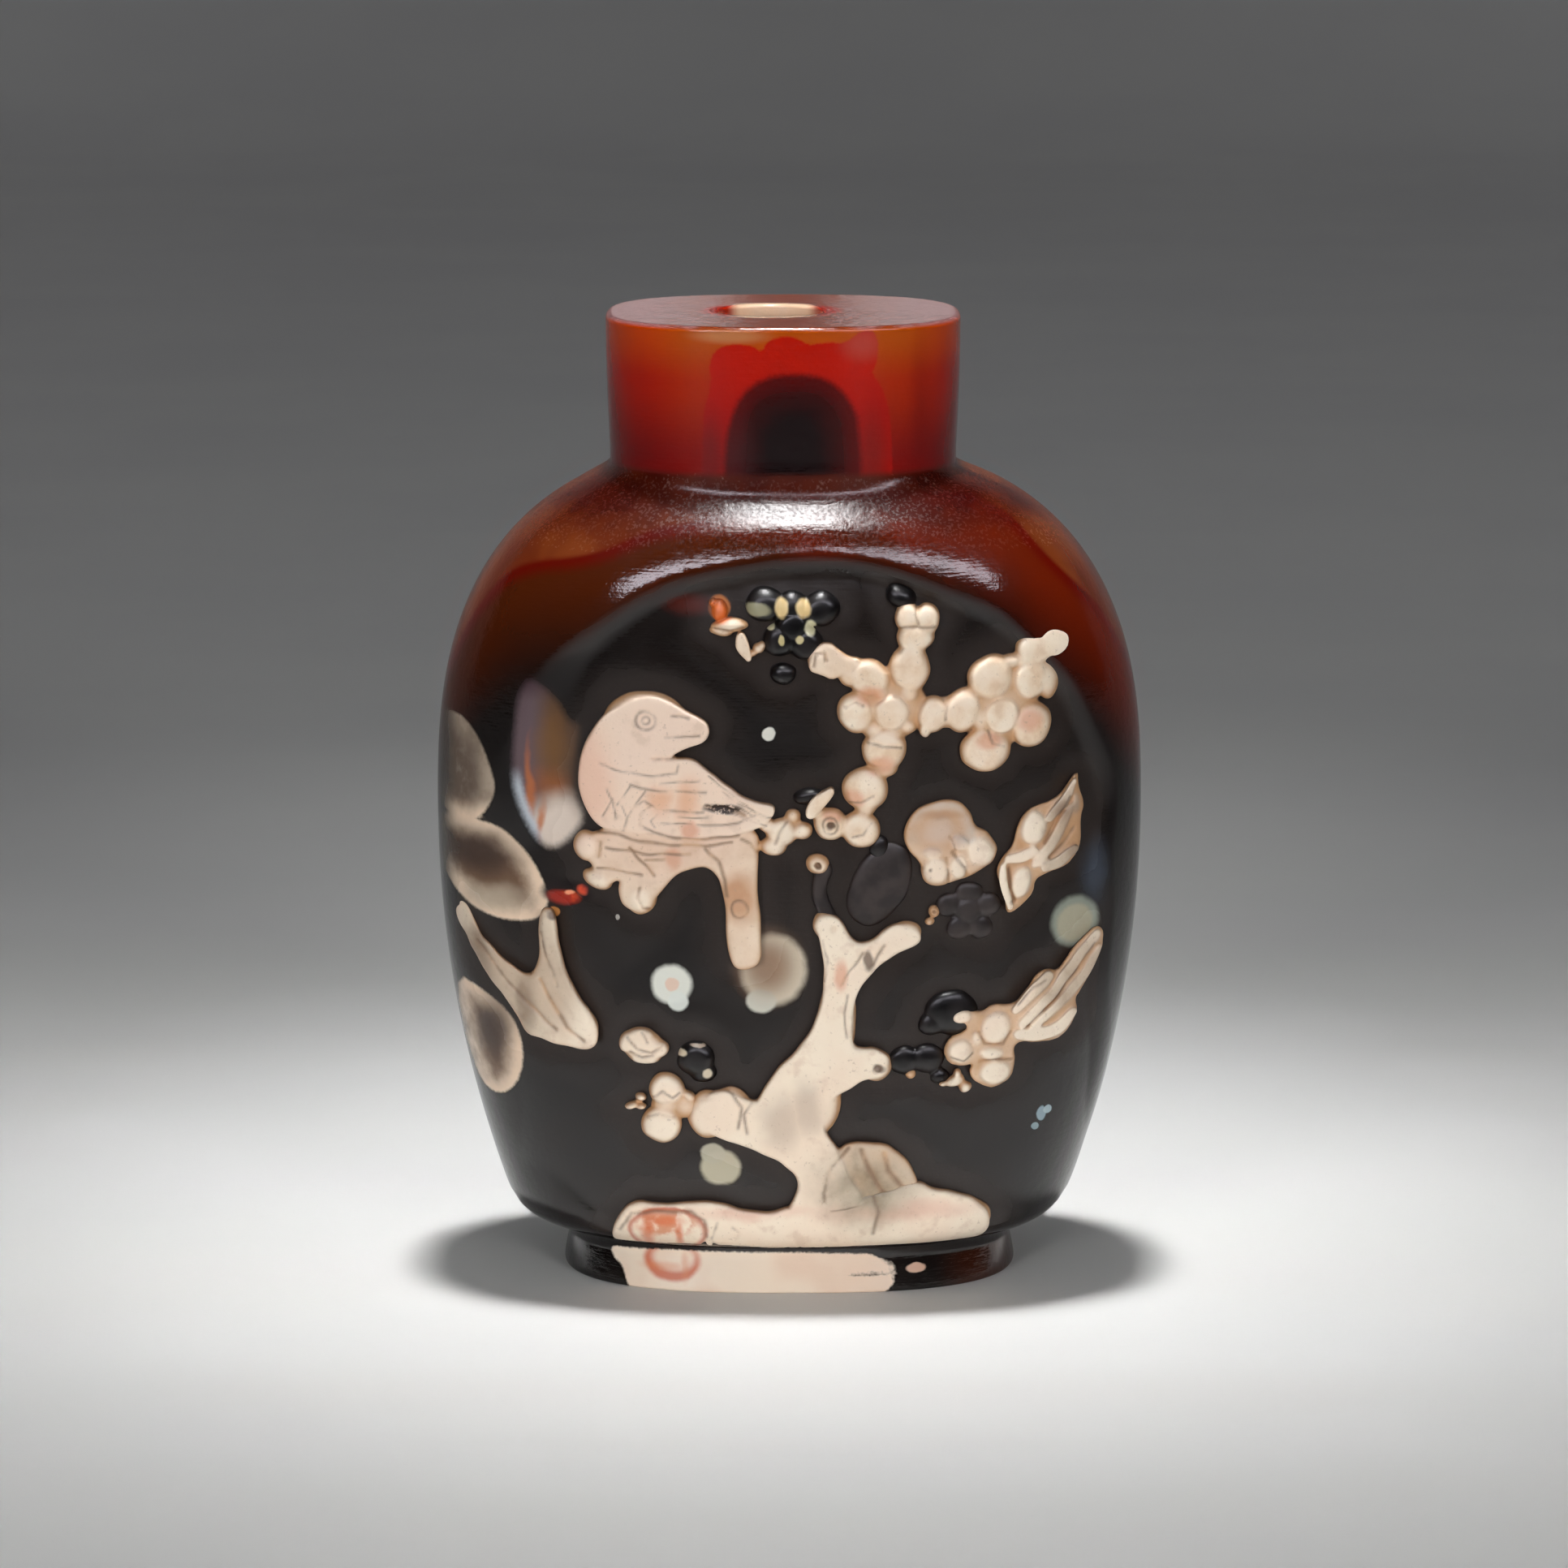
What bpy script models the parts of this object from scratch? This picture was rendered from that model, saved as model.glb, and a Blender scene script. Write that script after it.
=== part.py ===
# A carved agate snuff bottle, without its stopper: one hollow solid that stands on an oval foot.
# Metres, +Z up. The carved front faces -Y, and the origin is at the centre of the foot's underside.
import bmesh
import bpy
from math import copysign, cos, hypot, pi, radians, sin

MM = 0.001

# Body: half sizes from the upright axis, and the formulas' powers that give it its profile
BODY_HALF_WIDTH = 22.4 * MM
BODY_HALF_DEPTH = 13.5 * MM
BODY_HEIGHT = 50.5 * MM
WIDEST_HEIGHT = 27.4 * MM
SHOULDER_POWER = 2.7
SHOULDER_ROUNDNESS = 2.66
FRONT_SHOULDER_POWER = 6.0
FRONT_SHOULDER_ROUNDNESS = 2.2
SIDE_TAPER = 0.236
FRONT_TAPER = 0.08
LOWER_CORNER_POWER = 45
BODY_SECTION_POWER = 2.5

# Foot
FOOT_HEIGHT = 2.1 * MM
FOOT_HALF_WIDTH = 14.5 * MM
FOOT_HALF_DEPTH = 11.0 * MM
FOOT_DRAW_IN = 0.4 * MM
FOOT_ROUND = 0.2 * MM
FOOT_RIM = 2.2 * MM
FOOT_HOLLOW = 0.8 * MM
FOOT_SECTION_POWER = 2.7

# Neck
NECK_HEIGHT = 8.4 * MM
NECK_HALF_WIDTH = 11.17 * MM
NECK_HALF_DEPTH = 9.8 * MM
NECK_DRAW_IN = 0.24 * MM
NECK_SHIFT = -0.4 * MM
NECK_FILLET = 1.2 * MM
NECK_ROUND = 0.35 * MM
NECK_SECTION_POWER = 2.6

# Hollow
WALL = 3.2 * MM
FLOOR_THICKNESS = 3.3 * MM
SHOULDER_THICKNESS = 3.1 * MM
MOUTH_RADIUS = 3.4 * MM
MOUTH_SHIFT = -1.2 * MM
CLOSING_HEIGHT = 6.5 * MM
CUTTER_MARGIN = 2.0 * MM

# Relief on the front: the ground is cut back inside an arched panel, and the figures keep the old surface.
# The second level holds the lower parts of the figures.
GROUND_DEPTH = 0.9 * MM
SECOND_LEVEL = 0.35 * MM
SKIN_PROUD = 0.05 * MM

# The carving's places and radii are millimetres on a flat card laid over the front, measured from the
# middle and from the foot's top. The card stretches with the body's own width and height.
CARD_HALF_WIDTH = 22.4
CARD_HEIGHT = 50.5
PANEL_X = 0.8
PANEL_Z = 27.9
PANEL_HALF_WIDTH = 19.3
PANEL_RISE = 17.0
PANEL_FOOT = 1.4
PANEL_FADE = 2.2

FRONT_SPANS = 36
BACK_SPANS = 20
HOLLOW_SPANS = 24
RING_STEP = 2.9 * MM
DISC_SIDES = 12
CAP_SIDES = 4
WELD_DISTANCE = 0.002 * MM

WIDEST = FOOT_HEIGHT + WIDEST_HEIGHT
SHOULDER_END = FOOT_HEIGHT + BODY_HEIGHT
HEIGHT = SHOULDER_END + NECK_HEIGHT
FLOOR = FOOT_HEIGHT + FLOOR_THICKNESS
BORE_START = SHOULDER_END - SHOULDER_THICKNESS
PRISM_DEPTH = 0.67 * BODY_HALF_DEPTH


def share(value):
    return max(0, min(value, 1))


def body_half_width(z):
    if z >= WIDEST:
        t = share((z - WIDEST) / (SHOULDER_END - WIDEST))
        return BODY_HALF_WIDTH * (1 - t**SHOULDER_POWER) ** (1 / SHOULDER_ROUNDNESS)
    t = share((WIDEST - z) / WIDEST_HEIGHT)
    return BODY_HALF_WIDTH * (1 - SIDE_TAPER * t * t) * (1 - t**LOWER_CORNER_POWER) ** 0.5


def body_half_depth(z):
    if z >= WIDEST:
        t = share((z - WIDEST) / (SHOULDER_END - WIDEST))
        return BODY_HALF_DEPTH * (1 - t**FRONT_SHOULDER_POWER) ** (1 / FRONT_SHOULDER_ROUNDNESS)
    t = share((WIDEST - z) / WIDEST_HEIGHT)
    return BODY_HALF_DEPTH * (1 - FRONT_TAPER * t * t) * (1 - t**LOWER_CORNER_POWER) ** 0.5


def neck_draw_in(z):
    down = share((HEIGHT - z) / NECK_HEIGHT)
    edge = share(1 - (HEIGHT - z) / NECK_ROUND)
    return NECK_DRAW_IN * down**2 + NECK_ROUND * (1 - (1 - edge**2) ** 0.5)


def foot_draw_in(z):
    edge = share(1 - z / FOOT_ROUND)
    return FOOT_DRAW_IN * z / FOOT_HEIGHT + FOOT_ROUND * (1 - (1 - edge**2) ** 0.5)


def blended(a, b):
    """The larger of two half sizes, with a fillet where they are nearly equal."""
    near = max(NECK_FILLET - abs(a - b), 0) / NECK_FILLET
    return max(a, b) + near**2 * NECK_FILLET / 4


def section(z):
    """The outside's section at a height: centre in x, half width, half depth and superellipse power."""
    if z > WIDEST:
        draw_in = neck_draw_in(z)
        neck = share((z - (SHOULDER_END - 2 * NECK_FILLET)) / NECK_FILLET)
        half_width = blended(body_half_width(z), NECK_HALF_WIDTH - draw_in)
        half_depth = blended(body_half_depth(z), NECK_HALF_DEPTH - draw_in)
        power = BODY_SECTION_POWER + neck * (NECK_SECTION_POWER - BODY_SECTION_POWER)
        return neck * NECK_SHIFT, half_width, half_depth, power
    if z > FOOT_HEIGHT:
        foot = share(1 - (z - FOOT_HEIGHT) / NECK_FILLET)
        half_width = max(body_half_width(z), FOOT_HALF_WIDTH - FOOT_DRAW_IN)
        half_depth = max(body_half_depth(z), FOOT_HALF_DEPTH - FOOT_DRAW_IN)
        power = BODY_SECTION_POWER + foot * (FOOT_SECTION_POWER - BODY_SECTION_POWER)
        return 0, half_width, half_depth, power
    draw_in = foot_draw_in(z)
    return 0, FOOT_HALF_WIDTH - draw_in, FOOT_HALF_DEPTH - draw_in, FOOT_SECTION_POWER


def superellipse(middle, half_width, half_depth, power, angle):
    x = half_width * copysign(abs(cos(angle)) ** (2 / power), cos(angle))
    y = half_depth * copysign(abs(sin(angle)) ** (2 / power), sin(angle))
    return middle + x, y


def panel_share(x, z):
    """How much of the ground's depth is cut away at a place on the front, from 0 to 1."""
    across = (x / BODY_HALF_WIDTH * CARD_HALF_WIDTH - PANEL_X) / PANEL_HALF_WIDTH
    card_z = (z - FOOT_HEIGHT) / BODY_HEIGHT * CARD_HEIGHT
    up = max(0, card_z - PANEL_Z) / PANEL_RISE
    edge = min((1 - hypot(across, up)) * PANEL_RISE, card_z - PANEL_FOOT) / PANEL_FADE
    edge = share(edge)
    return edge * edge * (3 - 2 * edge)


def ring_angles():
    front = [-pi + pi * i / FRONT_SPANS for i in range(FRONT_SPANS)]
    back = [pi * i / BACK_SPANS for i in range(BACK_SPANS)]
    return front + back


def outside_heights():
    """The rings' heights, closest together at the lower corner, the shoulder and the rim."""
    foot = [0, FOOT_ROUND / 2, FOOT_ROUND, FOOT_HEIGHT]
    corner = [FOOT_HEIGHT + WIDEST_HEIGHT * up for up in (0.016, 0.029, 0.047, 0.08, 0.13)]
    drops = (0.32, 0.25, 0.19, 0.14, 0.107, 0.081, 0.064, 0.051, 0.034, 0.013)
    shoulder = [SHOULDER_END - (SHOULDER_END - WIDEST) * drop for drop in drops]
    low, high = corner[-1], shoulder[0]
    count = round((high - low) / RING_STEP)
    body = [low + (high - low) * i / count for i in range(1, count)]
    neck = [SHOULDER_END + NECK_HEIGHT * up for up in (0.1, 0.35, 0.65)]
    rim = [HEIGHT - NECK_ROUND, HEIGHT - NECK_ROUND * 0.3, HEIGHT]
    return foot + corner + body + shoulder + neck + rim


def loft(name, rings):
    """A closed solid through rings of equally many points, listed from the bottom up."""
    bm = bmesh.new()
    rows = [[bm.verts.new(point) for point in ring] for ring in rings]
    for low, high in zip(rows, rows[1:]):
        for i in range(len(low)):
            j = (i + 1) % len(low)
            bm.faces.new((low[i], low[j], high[j], high[i]))
    bm.faces.new(reversed(rows[0]))
    bm.faces.new(rows[-1])
    return object_from(name, bm)


def object_from(name, bm):
    bmesh.ops.recalc_face_normals(bm, faces=bm.faces)
    mesh = bpy.data.meshes.new(name)
    bm.to_mesh(mesh)
    bm.free()
    return bpy.data.objects.new(name, mesh)


def outside(name, ground_depth, proud=0):
    """The bottle's outside as a solid, with the panel's ground cut back and everything swollen by proud."""
    rings = []
    for z in outside_heights():
        middle, half_width, half_depth, power = section(z)
        ring = []
        for angle in ring_angles():
            x, y = superellipse(middle, half_width + proud, half_depth + proud, power, angle)
            if y < 0:
                y = min(y + ground_depth * panel_share(x, z), 0)
            ring.append((x, y, z))
        rings.append(ring)
    return loft(name, rings)


def hollow_section(z):
    """The inside's half width and half depth: the body's less the wall, closing to the mouth's bore above."""
    closing_start = BORE_START - CLOSING_HEIGHT
    base = min(z, closing_start)
    half_width = body_half_width(base) - WALL
    half_depth = body_half_depth(base) - WALL
    up = share((z - closing_start) / CLOSING_HEIGHT)
    closed = (1 - up**2) ** 0.5
    half_width = MOUTH_RADIUS + (half_width - MOUTH_RADIUS) * closed
    half_depth = MOUTH_RADIUS + (half_depth - MOUTH_RADIUS) * closed
    return MOUTH_SHIFT * up, half_width, half_depth, 2 + (BODY_SECTION_POWER - 2) * closed


def hollow_cutter():
    straight = BORE_START - CLOSING_HEIGHT
    count = round((straight - FLOOR) / (2 * RING_STEP))
    heights = [FLOOR + (straight - FLOOR) * i / count for i in range(count + 1)]
    heights += [straight + CLOSING_HEIGHT * up for up in (0.4, 0.7, 0.9, 1)]
    heights.append(HEIGHT + CUTTER_MARGIN)
    rings = []
    for z in heights:
        angles = [2 * pi * i / HOLLOW_SPANS for i in range(HOLLOW_SPANS)]
        rings.append([(*superellipse(*hollow_section(z), angle), z) for angle in angles])
    return loft("hollow_cutter", rings)


def foot_cutter():
    """The shallow oval hollow under the foot, which leaves a rim to stand on."""
    rings = []
    for z, inset in ((-CUTTER_MARGIN, 0), (0, 0), (FOOT_HOLLOW, FOOT_HOLLOW)):
        sizes = FOOT_HALF_WIDTH - FOOT_RIM - inset, FOOT_HALF_DEPTH - FOOT_RIM - inset
        angles = [2 * pi * i / HOLLOW_SPANS for i in range(HOLLOW_SPANS)]
        rings.append([(*superellipse(0, *sizes, FOOT_SECTION_POWER, angle), z) for angle in angles])
    return loft("foot_cutter", rings)


def flat_circle(x, z, across, up=None, turn=0, sides=DISC_SIDES):
    """The outline of a petal or pebble, turned anticlockwise by turn degrees."""
    up = up or across
    tilt = radians(turn)
    points = []
    for i in range(sides):
        u = across * cos(2 * pi * i / sides)
        v = up * sin(2 * pi * i / sides)
        points.append((x + u * cos(tilt) - v * sin(tilt), z + u * sin(tilt) + v * cos(tilt)))
    return points


def band(*stations):
    """The outline of a limb with round ends that swells and tapers through its (x, z, radius) stations."""
    left, right = [], []
    for i, (x, z, radius) in enumerate(stations):
        before = stations[max(i - 1, 0)]
        after = stations[min(i + 1, len(stations) - 1)]
        along_x, along_z = after[0] - before[0], after[1] - before[1]
        length = hypot(along_x, along_z)
        across_x, across_z = -along_z / length * radius, along_x / length * radius
        left.append((x + across_x, z + across_z))
        right.append((x - across_x, z - across_z))
    return right + round_end(right[-1], left[-1]) + left[::-1] + round_end(left[0], right[0])


def round_end(start, end):
    middle_x, middle_z = (start[0] + end[0]) / 2, (start[1] + end[1]) / 2
    points = []
    for i in range(1, CAP_SIDES):
        turn = pi * i / CAP_SIDES
        u, v = start[0] - middle_x, start[1] - middle_z
        points.append((middle_x + u * cos(turn) - v * sin(turn), middle_z + u * sin(turn) + v * cos(turn)))
    return points


def bird():
    high = [
        band((-10.4, 32.0, 2.5), (-10.2, 30.2, 2.6), (-7.5, 29.8, 2.3), (-5.0, 29.6, 2.0), (-2.9, 29.2, 1.1),
             (-1.6, 29.2, 0.6)),
        flat_circle(-9.4, 34.1, 2.4),
        band((-8.0, 34.5, 1.6), (-5.5, 34.2, 0.8)),
    ]
    tail_buds = [flat_circle(-0.4, 27.8, 0.95), flat_circle(0.9, 28.0, 0.6)]
    return high, tail_buds


def perch():
    high = [
        band((-12.0, 26.1, 1.1), (-10.6, 26.0, 1.6), (-8.0, 26.5, 1.3), (-5.0, 26.8, 1.1), (-3.0, 26.3, 1.2)),
        band((-3.0, 26.3, 1.2), (-2.85, 23.0, 1.15), (-2.8, 20.2, 1.1)),
    ]
    low = [band((-11.6, 25.3, 1.0), (-9.4, 23.9, 1.1))]
    return high, low


def tree():
    high = [
        band((1.0, 7.9, 1.9), (-0.2, 10.5, 1.8), (1.2, 12.6, 1.9), (2.2, 14.4, 1.6), (2.9, 16.3, 1.15), (3.1, 18.2, 1.1),
             (3.1, 20.3, 1.1), (2.4, 22.0, 0.75)),
        band((1.0, 7.9, 1.9), (-1.2, 8.8, 1.7), (-3.2, 9.6, 1.6), (-5.0, 10.0, 1.3)),
        band((1.5, 7.8, 1.6), (4.0, 6.7, 1.7), (6.6, 6.1, 1.5)),
        band((1.4, 7.6, 1.7), (1.3, 5.4, 1.5)),
        band((3.6, 19.4, 0.9), (5.2, 20.3, 0.8), (7.3, 21.3, 0.7)),
        band((3.2, 13.0, 1.0), (5.4, 13.0, 0.9)),
    ]
    blossoms = [
        flat_circle(-5.0, 9.8, 1.25, 1.45),
        flat_circle(-7.7, 11.4, 1.1),
        flat_circle(-8.0, 9.1, 1.3, 1.25),
        flat_circle(-9.1, 14.1, 1.35, 1.2),
    ]
    low = [
        flat_circle(-6.5, 10.3, 0.95),
        band((-10.2, 10.2, 0.4), (-9.0, 10.8, 0.4), (-8.0, 10.6, 0.5)),
        flat_circle(-5.85, 13.35, 1.05),
    ]
    return high + blossoms, low


def rock_bank():
    high = [
        band((-9.6, 2.1, 1.7), (-6.0, 2.3, 1.8), (-2.0, 1.9, 1.7), (1.0, 2.2, 1.9)),
        band((8.0, 2.9, 2.2), (11.0, 2.5, 1.7)),
    ]
    low = [band((1.6, 3.6, 2.2), (4.8, 4.4, 2.8), (7.2, 3.8, 2.2))]
    return high, low


def upper_spray():
    high = [
        flat_circle(7.15, 41.7, 0.65),
        flat_circle(8.45, 41.5, 0.7),
        flat_circle(7.8, 40.2, 1.05),
        flat_circle(7.3, 38.05, 1.1, 1.25),
        flat_circle(4.85, 37.35, 1.0),
        flat_circle(4.15, 35.15, 1.05),
        flat_circle(5.95, 33.0, 1.25, 1.05),
        flat_circle(8.55, 35.1, 0.9),
        flat_circle(8.4, 33.8, 0.6),
        flat_circle(6.4, 35.15, 0.95),
        flat_circle(10.65, 35.2, 0.9, 1.3),
        flat_circle(13.25, 34.9, 0.95),
        flat_circle(12.6, 37.5, 1.1, 1.2),
        flat_circle(14.9, 36.7, 1.25, 1.4),
        flat_circle(15.05, 34.0, 1.0, 1.25),
        flat_circle(12.1, 32.7, 1.4, 1.15),
        band((15.7, 37.6, 0.5), (15.1, 39.1, 0.85)),
        flat_circle(16.4, 39.1, 0.65),
    ]
    low = [
        band((5.4, 38.1, 0.5), (3.4, 38.9, 0.5), (2.0, 38.6, 0.85)),
        flat_circle(6.4, 35.2, 2.3),
        band((8.4, 35.2, 0.6), (13.0, 35.0, 0.7)),
        flat_circle(13.4, 35.0, 2.2),
        band((5.9, 32.6, 0.6), (4.7, 30.6, 1.3), (4.5, 28.1, 1.0), (2.7, 28.3, 0.9)),
        band((2.7, 30.5, 0.45), (1.9, 29.8, 0.4), (1.2, 29.2, 0.4)),
        band((2.5, 28.0, 0.5), (1.9, 25.8, 0.8), (2.1, 23.0, 0.7)),
    ]
    return high, low


def right_disc():
    high = [
        flat_circle(9.1, 27.8, 2.35, 2.1),
        flat_circle(9.0, 25.2, 1.05),
        flat_circle(10.5, 25.4, 0.9),
        flat_circle(11.85, 26.2, 1.2, 1.5),
    ]
    low = [
        flat_circle(10.2, 26.0, 1.6),
        flat_circle(11.2, 22.7, 1.7),
        flat_circle(5.65, 24.5, 1.6, 2.6, turn=-20),
    ]
    return high, low


def leaf():
    high = [
        band((17.5, 29.8, 0.7), (16.4, 27.3, 1.9), (15.2, 25.3, 1.7), (14.1, 23.6, 0.8)),
    ]
    return high, []


def lower_spray():
    high = [
        flat_circle(10.65, 16.0, 0.7),
        flat_circle(13.0, 15.2, 1.15),
        flat_circle(10.65, 13.9, 1.0),
        flat_circle(12.9, 12.3, 1.2),
        flat_circle(10.3, 11.8, 0.7),
        band((13.4, 15.6, 0.7), (16.5, 18.2, 0.5)),
        band((14.0, 15.2, 0.6), (17.0, 17.4, 0.75), (19.5, 19.7, 0.6)),
        band((13.8, 14.8, 0.6), (18.1, 15.5, 0.6)),
    ]
    low = [
        flat_circle(11.9, 14.1, 1.7),
        flat_circle(10.0, 16.1, 1.5),
        band((7.2, 12.9, 1.0), (9.2, 13.2, 1.0), (10.4, 12.6, 0.8)),
    ]
    return high, low


def top_blossom():
    high = [
        flat_circle(-1.5, 42.1, 1.1),
        flat_circle(1.9, 41.8, 1.1),
        flat_circle(0.2, 42.6, 1.0),
        flat_circle(-0.7, 39.9, 1.0),
        flat_circle(1.0, 39.7, 1.0),
        flat_circle(-3.7, 40.8, 1.2, 0.55),
    ]
    low = [
        flat_circle(0.1, 41.1, 1.6),
        band((-3.4, 40.4, 0.5), (-2.9, 39.4, 0.5), (-2.4, 38.6, 0.3)),
        flat_circle(-1.9, 39.3, 0.5),
        flat_circle(-0.4, 37.8, 0.7),
    ]
    return high, low


def left_rock():
    high = [
        band((-15.3, 22.4, 0.6), (-14.9, 19.4, 0.8), (-13.6, 16.5, 1.2), (-13.0, 15.0, 1.1)),
        band((-20.2, 20.9, 0.9), (-18.2, 18.8, 1.0), (-16.0, 16.7, 1.3), (-13.6, 15.1, 1.2)),
        band((-17.2, 15.2, 0.8), (-13.5, 14.9, 1.1)),
    ]
    return high, []


def prism(outline):
    """A flat outline of the card, laid on the body's front and extruded back into the wall, as a mesh."""
    across = BODY_HALF_WIDTH / CARD_HALF_WIDTH
    up = BODY_HEIGHT / CARD_HEIGHT
    curve = bpy.data.curves.new("outline", "CURVE")
    curve.dimensions = "2D"
    curve.fill_mode = "BOTH"
    curve.extrude = PRISM_DEPTH / 2
    spline = curve.splines.new("POLY")
    spline.points.add(len(outline) - 1)
    for point, (x, z) in zip(spline.points, outline):
        point.co = (x * across, z * up, 0, 1)
    spline.use_cyclic_u = True
    guide = bpy.data.objects.new("guide", curve)
    guide.location = (0, PRISM_DEPTH / 2 - BODY_HALF_DEPTH - CUTTER_MARGIN / 2, FOOT_HEIGHT)
    guide.rotation_euler = (radians(90), 0, 0)
    bpy.context.scene.collection.objects.link(guide)
    bpy.context.view_layer.update()
    mesh = bpy.data.meshes.new_from_object(guide.evaluated_get(bpy.context.evaluated_depsgraph_get()))
    mesh.transform(guide.matrix_world)
    bpy.data.curves.remove(curve)
    solid = bmesh.new()
    solid.from_mesh(mesh)
    bmesh.ops.remove_doubles(solid, verts=solid.verts, dist=WELD_DISTANCE)
    solid.to_mesh(mesh)
    solid.free()
    return mesh


def relief(name, outlines, level):
    """Every outline as a prism, all cut to one surface that lies a set depth under the body's own."""
    bm = bmesh.new()
    for outline in outlines:
        mesh = prism(outline)
        bm.from_mesh(mesh)
        bpy.data.meshes.remove(mesh)
    figures = object_from(name, bm)
    surface = outside(name + "_surface", 0, SKIN_PROUD - level)
    boolean(figures, "INTERSECT", surface, "EXACT")
    weld = figures.modifiers.new("weld", "WELD")
    weld.merge_threshold = WELD_DISTANCE
    return figures, surface


def boolean(target, operation, other, solver):
    modifier = target.modifiers.new(other.name, "BOOLEAN")
    modifier.operation = operation
    modifier.object = other
    modifier.solver = solver
    modifier.use_self = solver == "EXACT"


def agate():
    material = bpy.data.materials.new("agate")
    material.use_nodes = True
    shader = material.node_tree.nodes["Principled BSDF"]
    shader.inputs["Base Color"].default_value = (0.024, 0.018, 0.017, 1)
    shader.inputs["Roughness"].default_value = 0.28
    shader.inputs["Metallic"].default_value = 0
    return material


def clear_scene():
    for found in list(bpy.data.objects):
        bpy.data.objects.remove(found)


def collection_of(name):
    made = bpy.data.collections.new(name)
    bpy.context.scene.collection.children.link(made)
    return made


def main():
    clear_scene()
    parts = collection_of("agate_snuff_bottle")
    cutters = collection_of("cutters")
    groups = [bird(), perch(), tree(), rock_bank(), upper_spray(), right_disc(), leaf()]
    groups += [lower_spray(), top_blossom(), left_rock()]
    high = [outline for group in groups for outline in group[0]]
    low = [outline for group in groups for outline in group[1]]

    bottle = outside("bottle", GROUND_DEPTH)
    bottle.data.materials.append(agate())
    parts.objects.link(bottle)
    figures, figures_surface = relief("figures", high, 0)
    second, second_surface = relief("second_level", low, SECOND_LEVEL)
    hollow, foot = hollow_cutter(), foot_cutter()
    for helper in (figures, figures_surface, second, second_surface, hollow, foot):
        cutters.objects.link(helper)
        helper.hide_render = True
        helper.display_type = "WIRE"
    # The exact solver leaves inner faces here, where the prisms' flat backs share one plane.
    boolean(bottle, "UNION", second, "MANIFOLD")
    boolean(bottle, "UNION", figures, "MANIFOLD")
    boolean(bottle, "DIFFERENCE", hollow, "MANIFOLD")
    boolean(bottle, "DIFFERENCE", foot, "MANIFOLD")


main()
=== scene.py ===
# %% [markdown]
# # A carved agate snuff bottle
# The real bottle is one piece of agate. Its inside is dark brown stone, and a thin cream skin lay
# over the front. The carver cut the skin and a little of the dark stone away, and left cream
# figures standing on a dark ground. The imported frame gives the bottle's true place and size, so it
# is loaded first and its box is kept.

# %% Load the frame
import math

import bpy
import numpy as np
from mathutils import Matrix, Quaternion, Vector
from mathutils.kdtree import KDTree


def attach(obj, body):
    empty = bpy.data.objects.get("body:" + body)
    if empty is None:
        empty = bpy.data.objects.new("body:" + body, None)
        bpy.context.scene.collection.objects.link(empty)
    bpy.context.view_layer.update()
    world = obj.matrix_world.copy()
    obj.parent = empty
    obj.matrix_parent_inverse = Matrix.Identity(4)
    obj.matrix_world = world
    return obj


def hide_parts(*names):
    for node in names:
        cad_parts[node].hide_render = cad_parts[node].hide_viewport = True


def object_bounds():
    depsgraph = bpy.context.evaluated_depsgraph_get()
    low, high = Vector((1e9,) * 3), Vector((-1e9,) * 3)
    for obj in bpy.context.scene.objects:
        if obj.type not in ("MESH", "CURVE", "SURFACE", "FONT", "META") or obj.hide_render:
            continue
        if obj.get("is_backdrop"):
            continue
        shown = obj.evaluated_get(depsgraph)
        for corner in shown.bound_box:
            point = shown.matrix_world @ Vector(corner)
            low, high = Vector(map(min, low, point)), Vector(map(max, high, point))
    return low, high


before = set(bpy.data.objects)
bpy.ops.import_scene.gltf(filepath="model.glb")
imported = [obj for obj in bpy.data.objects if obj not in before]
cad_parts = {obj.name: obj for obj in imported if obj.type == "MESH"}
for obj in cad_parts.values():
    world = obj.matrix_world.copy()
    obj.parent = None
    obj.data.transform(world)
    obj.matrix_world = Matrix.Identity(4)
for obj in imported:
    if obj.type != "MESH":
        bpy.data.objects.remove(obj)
cad_box = [list(corner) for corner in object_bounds()]
MM = 0.001
print("CAD box in mm:", [[round(value / MM, 2) for value in corner] for corner in cad_box])

# %% [markdown]
# ## The bottle's form
# Every height of the bottle has an oval section. A superellipse describes it with two half sizes
# and one power: power 2 is an ellipse, and a higher power has fuller corners. Short formulas give
# the half sizes at each height, so the shoulders, the long taper and the tight lower corner come
# from a few numbers and stay smooth.

# %% Half sizes by height, in millimetres
HALF_WIDTH = 22.4
HALF_DEPTH = 13.5
FOOT_TOP = 2.1
WIDEST = 29.5
SHOULDER_END = 52.6
HEIGHT = 61.0
NECK_SHIFT = -0.4
NECK_HALF_WIDTH = 11.17
NECK_HALF_DEPTH = 9.8
FOOT_HALF_WIDTH = 14.5
FOOT_HALF_DEPTH = 11.0
FILLET = 1.2
LIP_ROUND = 0.35
CORNER_POWER = 45
WALL = 3.2
CAVITY_FLOOR = 5.4
MOUTH_RADIUS = 3.4
MOUTH_SHIFT = -1.2
MOUTH_START = 49.5
CLOSING = 6.5


def clamp(value, low=0.0, high=1.0):
    return np.minimum(np.maximum(value, low), high)


def smooth_step(value):
    value = clamp(value)
    return value * value * (3 - 2 * value)


def body_half_width(z):
    up = clamp((z - WIDEST) / (SHOULDER_END - WIDEST))
    down = clamp((WIDEST - z) / (WIDEST - FOOT_TOP))
    above = (1 - up**2.7) ** (1 / 2.66)
    below = (1 - 0.236 * down**2) * (1 - down**CORNER_POWER) ** 0.5
    return HALF_WIDTH * np.where(z >= WIDEST, above, below)


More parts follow.
